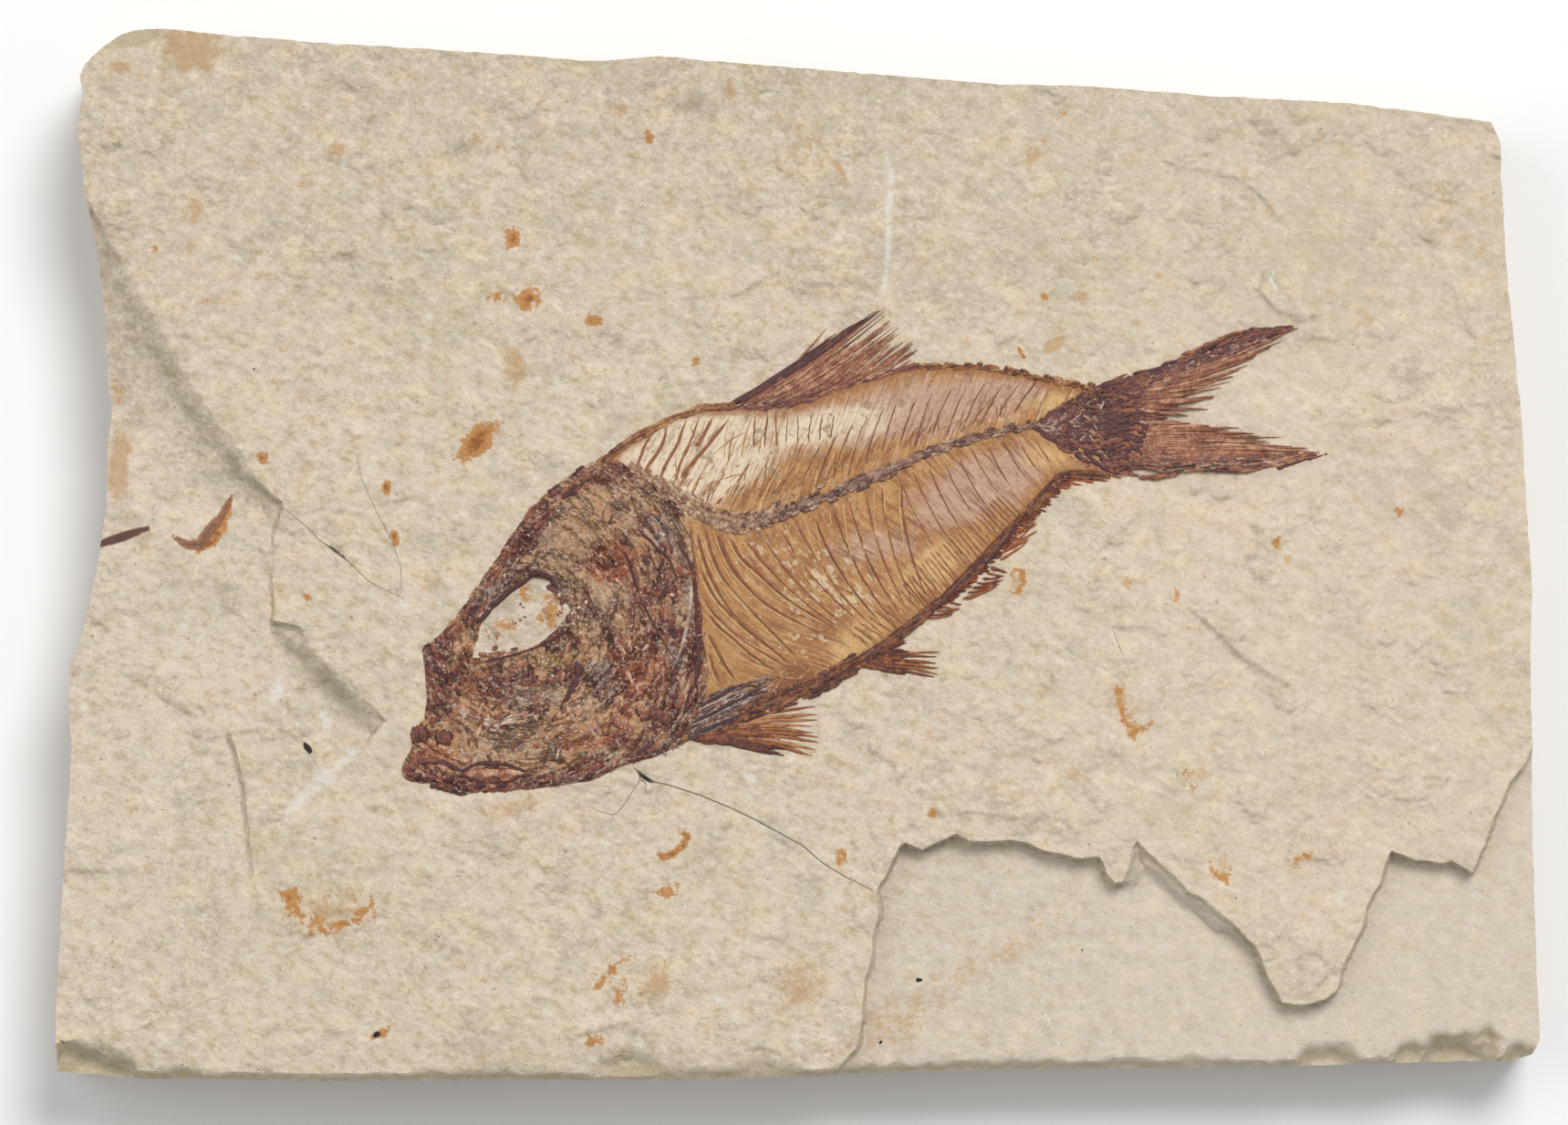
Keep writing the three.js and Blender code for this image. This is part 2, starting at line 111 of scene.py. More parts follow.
LEFT_SIDE: Pixels = (
    (0, 180), (93, 214), (114, 247), (140, 287), (166, 339), (190, 382), (230, 449),
    (256, 480), (277, 518), (299, 541), (315, 552), (308, 564), (300, 592), (299, 629),
    (301, 679), (329, 686), (347, 711), (366, 733), (395, 757), (424, 790), (402, 812),
    (347, 834), (333, 820), (321, 807), (288, 801), (252, 804), (261, 830), (268, 859),
    (272, 904), (279, 960), (285, 1010), (282, 1042), (240, 1090), (150, 1130), (0, 1150),
)
LOWER_FLAKE: Pixels = (
    (252, 804), (288, 801), (321, 807), (333, 820), (347, 834), (318, 884), (290, 902),
    (272, 906), (268, 859), (261, 830),
)

# The trunk's edges in matching stations from the throat to the tail, belly and back.
BELLY: Pixels = (
    (690, 838), (749, 815), (780, 798), (812, 788), (845, 776), (873, 767), (912, 745),
    (940, 728), (966, 708), (996, 685), (1031, 659), (1060, 628), (1085, 601), (1112, 573),
    (1142, 542), (1165, 521), (1207, 519),
)
BACK: Pixels = (
    (636, 515), (668, 496), (697, 479), (728, 459), (762, 448), (800, 446), (845, 446),
    (886, 438), (926, 423), (965, 412), (1003, 402), (1036, 400), (1070, 401), (1100, 406),
    (1134, 413), (1166, 418), (1196, 424),
)
SKULL: Pixels = (
    (441, 848), (450, 856), (475, 859), (484, 867), (506, 872), (526, 867), (570, 866),
    (609, 861), (647, 855), (685, 839), (717, 829), (749, 815), (768, 790), (781, 738),
    (777, 704), (768, 650), (760, 593), (754, 562), (740, 542), (712, 522), (680, 504),
    (649, 506), (606, 533), (583, 557), (563, 583), (542, 616), (506, 667), (481, 697),
    (462, 709), (466, 735), (468, 766), (465, 788), (455, 800), (451, 821), (441, 837),
)
ORBIT: Pixels = (
    (517, 722), (540, 720), (563, 716), (588, 707), (609, 692), (626, 669), (619, 657),
    (606, 638), (583, 633), (558, 648), (542, 666), (528, 684),
)
ORBIT_MIDDLE = (572, 680)
BACKBONE: Pixels = (
    (690, 514), (708, 524), (726, 535), (748, 549), (769, 561), (790, 571), (811, 575),
    (830, 572), (846, 567), (863, 560), (880, 553), (914, 541), (949, 526), (983, 511),
    (1017, 496), (1051, 485), (1085, 475), (1117, 468), (1140, 465),
)

# Between these places the ribs give way to the spines of the rear.
RIBS_TO_SPINES: Pixels = ((880, 0), (1000, 0))


def place(pixels: Pixels) -> np.ndarray:
    """Turns places in the photograph into places on the slab.

    Args:
        pixels: Pairs of pixel coordinates, x to the right and y down.

    Returns:
        An (n, 2) array in millimetres.
    """
    points = np.asarray(pixels, float).reshape(-1, 2)
    return (points - PHOTO_MIDDLE) * MM_PER_PIXEL * (1, -1)


def smooth(value: np.ndarray, low: float, high: float) -> np.ndarray:
    """Rises from 0 at low to 1 at high along 3t^2 - 2t^3."""
    t = np.clip((value - low) / (high - low), 0, 1)
    return t * t * (3 - 2 * t)


def resampled(points: np.ndarray, count: int) -> np.ndarray:
    """Spaces points evenly along a line, by its own length.

    Args:
        points: An (n, 2) line.
        count: How many points to return.

    Returns:
        A (count, 2) line through the same course.
    """
    steps = np.hypot(*np.diff(points, axis=0).T)
    length = np.concatenate([[0], np.cumsum(steps)])
    at = np.linspace(0, length[-1], count)
    return np.column_stack([np.interp(at, length, points[:, k]) for k in (0, 1)])


def curved(points: np.ndarray, count: int) -> np.ndarray:
    """Runs a Catmull-Rom curve through points: cubics with end slopes of (next - last) / 2.

    Args:
        points: An (n, 2) line.
        count: How many points to return, evenly spaced in the line's own parameter.

    Returns:
        A (count, 2) curve.
    """
    ends = np.vstack([2 * points[0] - points[1], points, 2 * points[-1] - points[-2]])
    at = np.linspace(0, len(points) - 1, count)
    span = np.minimum(at.astype(int), len(points) - 2)
    t = (at - span)[:, None]
    a, b, c, d = (ends[span + k] for k in range(4))
    bend = 2 * a - 5 * b + 4 * c - d
    return 0.5 * (2 * b + (c - a) * t + bend * t**2 + (3 * b - a - 3 * c + d) * t**3)


class Grain:
    """Seeded value noise in the plane: lattice values joined by smooth steps, in octaves."""

    SIZE = 256
    FIRST_TURN, NEXT_TURN = 0.6, 1.1
    SHIFT = (31.7, -12.9)

    def __init__(self, seed: int) -> None:
        self.lattice = np.random.default_rng(seed).uniform(-1, 1, (self.SIZE, self.SIZE))

    def _corner(self, i: np.ndarray, j: np.ndarray) -> np.ndarray:
        """The lattice's values, repeated past its edges."""
        return self.lattice[i % self.SIZE, j % self.SIZE]

    def _octave(self, u: np.ndarray, v: np.ndarray) -> np.ndarray:
        """One octave: a bilinear blend of the four lattice values around each point."""
        i, j = np.floor(u).astype(int), np.floor(v).astype(int)
        s, t = smooth(u - i, 0, 1), smooth(v - j, 0, 1)
        low = self._corner(i, j) * (1 - s) + self._corner(i + 1, j) * s
        high = self._corner(i, j + 1) * (1 - s) + self._corner(i + 1, j + 1) * s
        return low * (1 - t) + high * t

    def at(self, x: np.ndarray, y: np.ndarray, size: float, octaves: int = 4) -> np.ndarray:
        """Gives the noise at places, each octave turned, twice as fine and half as strong.

        Args:
            x: Places along X, in millimetres.
            y: Places along Y, in millimetres.
            size: Size of the coarsest features, in millimetres.
            octaves: How many octaves to add.

        Returns:
            Values mostly between -1 and 1.
        """
        total = np.zeros(np.broadcast(x, y).shape)
        for octave in range(octaves):
            turn = self.FIRST_TURN + self.NEXT_TURN * octave
            cos, sin = math.cos(turn), math.sin(turn)
            scale = 2**octave / size
            u = (x * cos - y * sin) * scale + self.SHIFT[0] * octave
            v = (x * sin + y * cos) * scale + self.SHIFT[1] * octave
            total = total + self._octave(u, v) / 2**octave
        return total / (2 - 2 ** (1 - octaves))


def to_run(
    x: np.ndarray, y: np.ndarray, a: np.ndarray, b: np.ndarray
) -> tuple[np.ndarray, np.ndarray]:
    """Gives the distance from places to the run from a to b, and the share of it at the foot."""
    run = b - a
    t = np.clip(((x - a[0]) * run[0] + (y - a[1]) * run[1]) / (run @ run), 0, 1)
    return np.hypot(x - a[0] - t * run[0], y - a[1] - t * run[1]), t


@dataclass(frozen=True)
class Region:
    """A closed area of the slab's face, with an uneven edge.

    Attributes:
        pixels: Its outline in the photograph.
        raggedness: How far its edge strays from the outline, in millimetres.
        seed: Seed of the edge's unevenness.
    """

    pixels: Pixels
    raggedness: float = 0.0
    seed: int = 1

    def depth(self, x: np.ndarray, y: np.ndarray) -> np.ndarray:
        """Gives the distance to the edge, positive inside and negative outside.

        Args:
            x: Places along X, in millimetres.
            y: Places along Y, in millimetres.

        Returns:
            Distances in millimetres.
        """
        corners = place(self.pixels)
        nearest = np.full(np.shape(x), np.inf)
        inside = np.zeros(np.shape(x), bool)
        for a, b in zip(corners, np.roll(corners, -1, axis=0)):
            nearest = np.minimum(nearest, to_run(x, y, a, b)[0])
            straddles = (a[1] > y) != (b[1] > y)
            run = b - a
            rise = run[1] if abs(run[1]) > TINY else TINY
            inside ^= straddles & (x < a[0] + (y - a[1]) * run[0] / rise)
        signed = np.where(inside, nearest, -nearest)
        if self.raggedness:
            signed = signed + self.raggedness * Grain(self.seed).at(x, y, 1.5, 3)
        return signed


@dataclass(frozen=True)
class Spot:
    """A patch of colour on a surface: an ellipse whose strength falls off from its middle.

    Attributes:
        at: Its middle in the photograph.
        half: Half its length and half its breadth, in pixels.
        turn: Degrees that its length is turned from the photograph's x axis, upwards positive.
        strength: Its strongest value.
    """

    at: tuple[float, float]
    half: tuple[float, float]
    turn: float = 0.0
    strength: float = 1.0

    def closeness(self, x: np.ndarray, y: np.ndarray) -> np.ndarray:
        """Falls from strength at the middle through 0 at the ellipse's edge and below."""
        middle = place([self.at])[0]
        cos, sin = math.cos(math.radians(self.turn)), math.sin(math.radians(self.turn))
        dx, dy = x - middle[0], y - middle[1]
        u = (dx * cos + dy * sin) / (self.half[0] * MM_PER_PIXEL)
        v = (dy * cos - dx * sin) / (self.half[1] * MM_PER_PIXEL)
        return self.strength * (1 - np.hypot(u, v))


@dataclass(frozen=True)
class Seam:
    """A thin open line on the face, such as a crack.

    Attributes:
        pixels: Its course in the photograph.
        width: Half its width at its widest, in millimetres.
    """

    pixels: Pixels
    width: float

    def side(self, x: np.ndarray, y: np.ndarray) -> tuple[np.ndarray, np.ndarray]:
        """Gives the distance to the line, signed by side, and how far along it the foot lies.

        Args:
            x: Places along X, in millimetres.
            y: Places along Y, in millimetres.

        Returns:
            Signed distances in millimetres, and places along the line from 0 to 1.
        """
        line = place(self.pixels)
        best = np.full(np.shape(x), np.inf)
        signed, along = np.zeros(np.shape(x)), np.zeros(np.shape(x))
        count = len(line) - 1
        for k, (a, b) in enumerate(zip(line, line[1:])):
            away, t = to_run(x, y, a, b)
            run = b - a
            cross = run[0] * (y - a[1]) - run[1] * (x - a[0])
            closer = away < best
            signed = np.where(closer, np.copysign(away, cross), signed)
            along = np.where(closer, (k + t) / count, along)
            best = np.minimum(best, away)
        return signed, along


@dataclass(frozen=True)
class Streak(Seam):
    """A stain drawn out along a line, widest in the middle. Its width is half its breadth."""

    strength: float = 1.0

    def closeness(self, x: np.ndarray, y: np.ndarray) -> np.ndarray:
        """Falls from strength on the line through 0 at the stain's edge and below."""
        side, along = self.side(x, y)
        half = self.width * (0.4 + 0.6 * np.sin(math.pi * along))
        return self.strength * (1 - np.abs(side) / half)


def strongest(marks: Sequence[Spot | Streak], x: np.ndarray, y: np.ndarray) -> np.ndarray:
    """Gives the strongest of some marks' closeness at each place, never below -1."""
    return np.maximum(-1.0, np.maximum.reduce([mark.closeness(x, y) for mark in marks]))


def spots(*rows: Sequence[float]) -> tuple[Spot, ...]:
    """Gives a spot for each row of x, y, half length, half breadth, turn and strength."""
    return tuple(Spot((x, y), (long, broad), *rest) for x, y, long, broad, *rest in rows)


def seams(*rows: Sequence) -> tuple[Seam, ...]:
    """Gives a seam for each row of half a width and the places of its course."""
    return tuple(Seam(tuple(course), width) for width, *course in rows)


def streaks(*rows: Sequence) -> tuple[Streak, ...]:
    """Gives a streak for each row of half a width, a strength and the places of its course."""
    return tuple(Streak(tuple(course), width, strength) for width, strength, *course in rows)


# What the face carries, read off the photograph.
CRACKS = seams(
    (0.075, (697, 843), (703, 850), (712, 856), (735, 861), (768, 872), (800, 885), (829, 899),
        (880, 927), (902, 946), (925, 960), (957, 976)),
    (0.035, (703, 852), (697, 862), (685, 881), (674, 894), (653, 888)),
    (0.045, (315, 560), (337, 578), (350, 592), (362, 600), (378, 612), (405, 638), (441, 656)),
    (0.03, (392, 505), (397, 527), (414, 563), (429, 592), (439, 620), (441, 655)),
    (0.035, (1221, 692), (1226, 706), (1231, 718)),
)
CRACK_MOUTHS = spots((706, 852, 11, 5, -35, 1), (370, 605, 11, 4, -36, 1))
RUST = streaks(
    (0.36, 0.45, (1226, 752), (1229, 773), (1236, 795), (1245, 816)),
    (0.26, 0.45, (1238, 803), (1250, 799), (1264, 791)),
    (0.26, 0.8, (1106, 634), (1110, 625), (1120, 626), (1122, 640), (1113, 652), (1106, 646)),
    (0.22, 0.6, (1291, 640), (1290, 652), (1289, 664)),
    (0.2, 1, (1117, 380), (1119, 388), (1126, 393)),
    (0.36, 1.2, (720, 934), (728, 941), (739, 935), (749, 928), (754, 917), (745, 911)),
    (0.3, 0.3, (1324, 946), (1332, 958), (1342, 966), (1348, 950), (1344, 940)),
    (0.6, 0.4, (302, 974), (320, 990), (334, 1008), (352, 1018), (384, 1012), (408, 996)),
    (0.4, 0.5, (652, 1084), (668, 1066), (690, 1048)),
    (0.5, 0.8, (214, 606), (232, 594), (246, 570), (252, 552)),
) + spots(
    (1227, 757, 6, 8, 0, 0.7), (1319, 630, 4.5, 4, 0, 1.1), (1399, 592, 5, 9, -10, 0.6),
    (1145, 326, 7, 7, 0, 0.6), (522, 486, 35, 14, 47, 1.5), (563, 262, 13, 11, 70, 1.1),
    (580, 328, 17, 15, 0, 1), (546, 326, 7, 11, 80, 0.6), (647, 352, 12, 9, 20, 1.1),
    (762, 396, 7, 6, 0, 0.9), (424, 534, 5, 12, 0, 1.4), (432, 589, 6, 10, 10, 1.3),
    (288, 503, 8, 7, 0, 1), (337, 654, 6, 5, 0, 1), (712, 150, 7, 6, 0, 0.9),
    (548, 164, 4, 4, 0, 0.6), (169, 272, 4, 4, 0, 0.7), (730, 976, 14, 9, 15, 0.8),
    (1424, 942, 22, 4, 28, 0.35), (922, 940, 7, 9, 0, 0.6), (1022, 893, 5, 8, 0, 0.6),
    (1325, 949, 4, 10, 10, 0.2), (320, 984, 12, 12, -40, 0.6), (400, 1000, 12, 12, 30, 0.5),
    (679, 1088, 7, 20, -20, 0.6), (650, 1139, 9, 8, 0, 0.6), (418, 1132, 12, 6, 30, 0.8),
    (1535, 560, 7, 7, 0, 0.7), (574, 651, 8, 15, 10, 0.5), (603, 672, 14, 14, 0, 0.45),
    (553, 686, 12, 7, 0, 0.4), (1300, 855, 8, 12, 10, 0.45),
)
OCHRE = spots(
    (1236, 639, 10, 9, 0, 1.2), (1304, 687, 9, 5, 0, 1.3), (1400, 595, 8, 14, 10, 1.3),
    (1411, 613, 9, 9, 0, 1.2), (1177, 848, 10, 9, 0, 1.1), (1124, 854, 5, 10, 0, 0.8),
    (1317, 847, 11, 9, 0, 0.9), (1236, 780, 14, 30, 24, 0.7), (1115, 640, 13, 20, 0, 0.9),
    (921, 187, 14, 5, -48, 1.4), (1167, 124, 12, 4, 35, 1.2), (1145, 154, 5, 8, 0, 1),
    (1186, 326, 10, 11, 0, 1.2), (896, 322, 6, 4, 0, 1), (1271, 302, 8, 10, 0, 0.9),
    (1242, 237, 10, 4, -10, 0.9), (370, 165, 13, 14, 0, 1.3), (330, 202, 9, 5, 20, 1.1),
    (225, 331, 18, 6, 10, 1), (375, 252, 5, 10, -10, 1), (344, 467, 9, 7, 0, 0.9),
    (386, 482, 10, 7, 0, 0.9), (1342, 950, 12, 18, 0, 0.9), (1426, 942, 30, 8, 28, 0.9),
    (1236, 782, 18, 26, 30, 0.5), (680, 122, 8, 12, 0, 1.1), (802, 98, 7, 16, 0, 1.2),
    (548, 162, 8, 6, 0, 0.9), (470, 182, 9, 6, 0, 0.7), (857, 129, 6, 10, 0, 1.1),
    (520, 150, 20, 12, 60, 0.5), (563, 402, 16, 30, 0, 1.2), (131, 74, 15, 9, 0, 1.5),
    (130, 508, 15, 50, -6, 2), (128, 425, 9, 26, 0, 0.9), (985, 1120, 90, 32, 34, 0.6),
    (1080, 1055, 110, 20, 32, 0.45), (718, 1078, 22, 30, -30, 1.1), (875, 1080, 32, 34, 0, 1),
    (560, 884, 60, 14, 5, 0.6), (1185, 325, 9, 5, 0, 0.7), (214, 231, 15, 15, 0, 1.1),
    (1129, 172, 14, 11, 0, 1.2), (362, 1000, 56, 34, 0, 0.9), (305, 290, 8, 5, 0, 0.6),
    (365, 580, 12, 8, 0, 0.5), (1142, 762, 6, 5, 0, 0.8), (922, 944, 9, 13, 0, 0.8),
    (1498, 345, 16, 16, 0, 0.5), (1600, 260, 40, 60, 20, 0.3), (880, 170, 50, 40, 20, 0.35),
    (1240, 640, 30, 14, 30, 0.4), (1154, 379, 20, 9, 32, 1.7), (1145, 325, 9, 10, 0, 1),
    (1229, 766, 9, 17, 10, 1.6), (1243, 796, 15, 8, -25, 1.5), (210, 54, 42, 30, -8, 2),
    (1390, 228, 8, 6, 0, 0.8), (1020, 806, 10, 8, 0, 0.5),
)
UMBER = streaks(
    (0.42, 2, (104, 598), (122, 592), (140, 586), (164, 578)),
    (0.55, 0.7, (190, 588), (203, 597), (218, 598), (230, 580), (242, 566), (254, 544)),
)
# White chalky marks; the short streak on the crescent lip at the upper right is a painted
# highlight.
CHALK_AND_HIGHLIGHTS = streaks(
    (1, 0.8, (314, 892), (350, 858), (392, 822)),
    (0.3, 1.1, (1396, 296), (1394, 308), (1402, 320)),
    (0.42, 0.85, (972, 165), (977, 192), (974, 240), (973, 290), (966, 332)),
) + spots(
    (444, 662, 9, 8, 0, 1.2), (822, 852, 13, 8, -35, 1.1), (303, 758, 10, 22, -22, 1.4),
    (200, 690, 9, 42, -14, 0.5), (585, 335, 5, 7, 0, 0.9), (800, 1120, 26, 14, 20, 0.6),
    (690, 1135, 26, 10, -30, 0.6), (356, 792, 6, 22, 20, 1.3), (377, 182, 5, 9, 0, 1.2),
    (1139, 719, 3.5, 3.5, 0, 1.6), (650, 924, 50, 5, 3, 0.6), (668, 1106, 12, 6, 40, 0.9),
    (790, 1096, 14, 8, 20, 0.8), (500, 948, 70, 5, 3, 0.5), (868, 858, 8, 3, -30, 0.8),
    (600, 642, 13, 8, -20, 1), (1470, 985, 10, 20, 0, 0.5), (575, 672, 20, 14, 40, 0.7),
)
# Grey patches and a broad darkening along the top, with painted shade: the streaks along the groove
# at the right, the arc under the crescent lip at the upper right and the line under the leaf edge
# at the left.
SOOT_AND_SHADE = streaks(
    (0.6, 0.8, (1308, 670), (1332, 692), (1364, 724), (1412, 752)),
    (0.7, 0.7, (1344, 708), (1372, 730), (1408, 750)),
) + spots(
    (1377, 580, 12, 6, -20, 1.2), (1374, 611, 12, 10, 0, 0.9), (217, 470, 5, 3, 0, 1.1),
    (219, 496, 7, 5, 0, 1.1), (116, 160, 26, 8, -10, 1), (399, 221, 14, 4, 20, 0.9),
    (381, 282, 32, 9, 0, 0.8), (416, 319, 44, 14, -10, 0.7), (932, 325, 6, 3, 10, 1),
    (1075, 170, 22, 10, -30, 0.6), (1013, 224, 28, 10, 10, 0.5), (1200, 216, 4, 3, 0, 1),
    (349, 387, 4, 4, 0, 1.1), (760, 60, 1000, 200, 0, 0.3), (760, 115, 50, 26, -8, 0.9),
    (690, 100, 36, 12, 30, 0.6), (1400, 150, 60, 14, -38, 0.7), (1400, 312, 30, 8, -48, 0.8),
    (1545, 415, 30, 26, 0, 0.7), (1592, 215, 30, 14, -50, 0.6), (510, 160, 30, 16, 0, 0.8),
    (300, 250, 110, 60, 0, 0.35), (420, 310, 120, 50, 10, 0.35), (600, 400, 60, 30, 0, 0.45),
    (1370, 655, 80, 12, -38, 0.4), (1385, 600, 24, 20, -40, 0.6), (236, 1030, 26, 120, 2, 0.45),
    (170, 420, 50, 60, 0, 0.4), (1150, 330, 60, 20, 0, 0.3), (620, 150, 60, 30, 0, 0.35),
    (175, 760, 60, 8, -28, 0.6),
)
# Where the slopes are wide: under the bay's right ledge, and twice under the left side's ledge.
SLOPES = spots((1300, 975, 95, 60, -40, 1), (365, 745, 70, 60, -45, 1), (200, 395, 190, 90, -60, 1))
# Where the left side's ledge fades out.
FAINT_LEDGE = spots((280, 1060, 150, 180, 0, 1), (300, 620, 60, 90, 0, 0.5))
# Patches where the face is crumbled. The strength is the roughness.
CRUMBLED = spots(
    (700, 1110, 110, 70, 0, 1.6), (850, 1100, 80, 60, 0, 1.2), (500, 175, 60, 40, 0, 1.4),
    (760, 105, 110, 50, 0, 1.2), (560, 320, 110, 80, 20, 0.8), (830, 320, 80, 40, 0, 1),
    (1560, 430, 80, 50, 0, 1), (1350, 190, 90, 40, 30, 1), (180, 760, 90, 40, 20, 0.8),
)
# Banks under the left side's ledge, where shade is painted.
BANKS = streaks(
    (3.4, 0.62, (106, 262), (118, 330), (132, 400), (152, 460)),
    (4.8, 0.68, (60, 200), (140, 335), (208, 450), (290, 548)),
    (1.7, 0.95, (300, 688), (340, 730), (380, 772), (414, 806)),
)
# Free edges of thin leaves, higher on the left of their course. The width is the rise.
LIPS = seams(
    (0.2, (1303, 666), (1330, 690), (1362, 722), (1416, 753)),
    (0.14, (1225, 690), (1252, 687), (1286, 702)),
    (0.12, (252, 804), (285, 801), (318, 804), (334, 816), (346, 838)),
    (0.2, (950, 803), (953, 822), (979, 838), (985, 856), (1000, 843)),
    (0.16, (1024, 880), (1030, 894), (1070, 890), (1100, 896), (1150, 897)),
    (0.2, (1388, 294), (1380, 318), (1398, 340), (1426, 352), (1448, 346)),
    (0.16, (1422, 1052), (1432, 1045), (1446, 1046), (1456, 1056)),
    (0.16, (1440, 1083), (1452, 1074), (1453, 1067), (1472, 1062)),
    (0.2, (827, 1032), (842, 1026), (859, 1033)),
    (0.16, (1310, 186), (1352, 196), (1378, 210), (1392, 228), (1404, 244)),
    (0.18, (1504, 433), (1527, 440), (1541, 437), (1556, 426)),
    (0.14, (1551, 457), (1579, 449), (1605, 451)),
    (0.12, (1528, 406), (1540, 392), (1556, 397)),
    (0.2, (790, 328), (812, 322), (832, 310), (854, 300)),
    (0.16, (490, 168), (508, 160), (528, 168)),
    (0.16, (680, 156), (694, 150), (712, 152), (734, 142)),
    (0.12, (456, 272), (478, 276), (496, 270)),
    (0.12, (561, 133), (580, 127), (604, 119)),
    (0.12, (1429, 366), (1446, 372), (1464, 373)),
    (0.16, (130, 738), (160, 752), (186, 772), (216, 788)),
    (0.12, (1010, 560), (1040, 548), (1062, 560)),
    (0.16, (624, 1140), (648, 1130), (676, 1124), (704, 1134), (716, 1150)),
    (0.14, (800, 1158), (832, 1148), (864, 1158)),
)
# Scoops broken out of the rim. The strength is the depth.
CHIPS = spots(
    (1458, 1180, 54, 42, 0, 1.5), (1548, 1180, 34, 40, 0, 1.3), (1604, 1186, 60, 66, -8, 2.4),
    (1668, 1176, 30, 34, 0, 1.6), (957, 1188, 22, 24, 0, 1), (1076, 1186, 34, 26, 0, 1.1),
    (1150, 1184, 28, 24, 0, 1), (1220, 1182, 26, 22, 0, 1), (1340, 1178, 30, 16, 0, 0.8),
    (690, 1184, 66, 34, 0, 0.7), (846, 1188, 54, 28, 0, 0.7), (770, 1190, 50, 20, 0, 0.6),
    (96, 1186, 62, 50, 0, 2), (640, 62, 40, 16, 0, 0.8), (140, 36, 50, 22, 10, 1),
)
DOTS = spots(
    (1008, 1075, 4, 4, 0, 1.6), (965, 1144, 3, 3, 0, 1.4), (1186, 1043, 2.6, 2.6, 0, 1.2),
    (1546, 902, 3, 2.5, 0, 1), (413, 1134, 6, 4, 30, 1), (337, 820, 9, 3.6, -52, 1.7),
    (278, 404, 3, 2, 0, 0.9), (462, 565, 4, 1.8, 0, 0.9), (588, 500, 3, 4, 0, 0.7),
)
# Every stain value: the grey one also carries painted shade and the chalky one a painted highlight.
STAINS_AND_PAINTED_LIGHT = {"rust": RUST, "ochre": OCHRE, "umber": UMBER, "chalk_and_highlight": CHALK_AND_HIGHLIGHTS, "soot_and_shade": SOOT_AND_SHADE, "dots": DOTS}


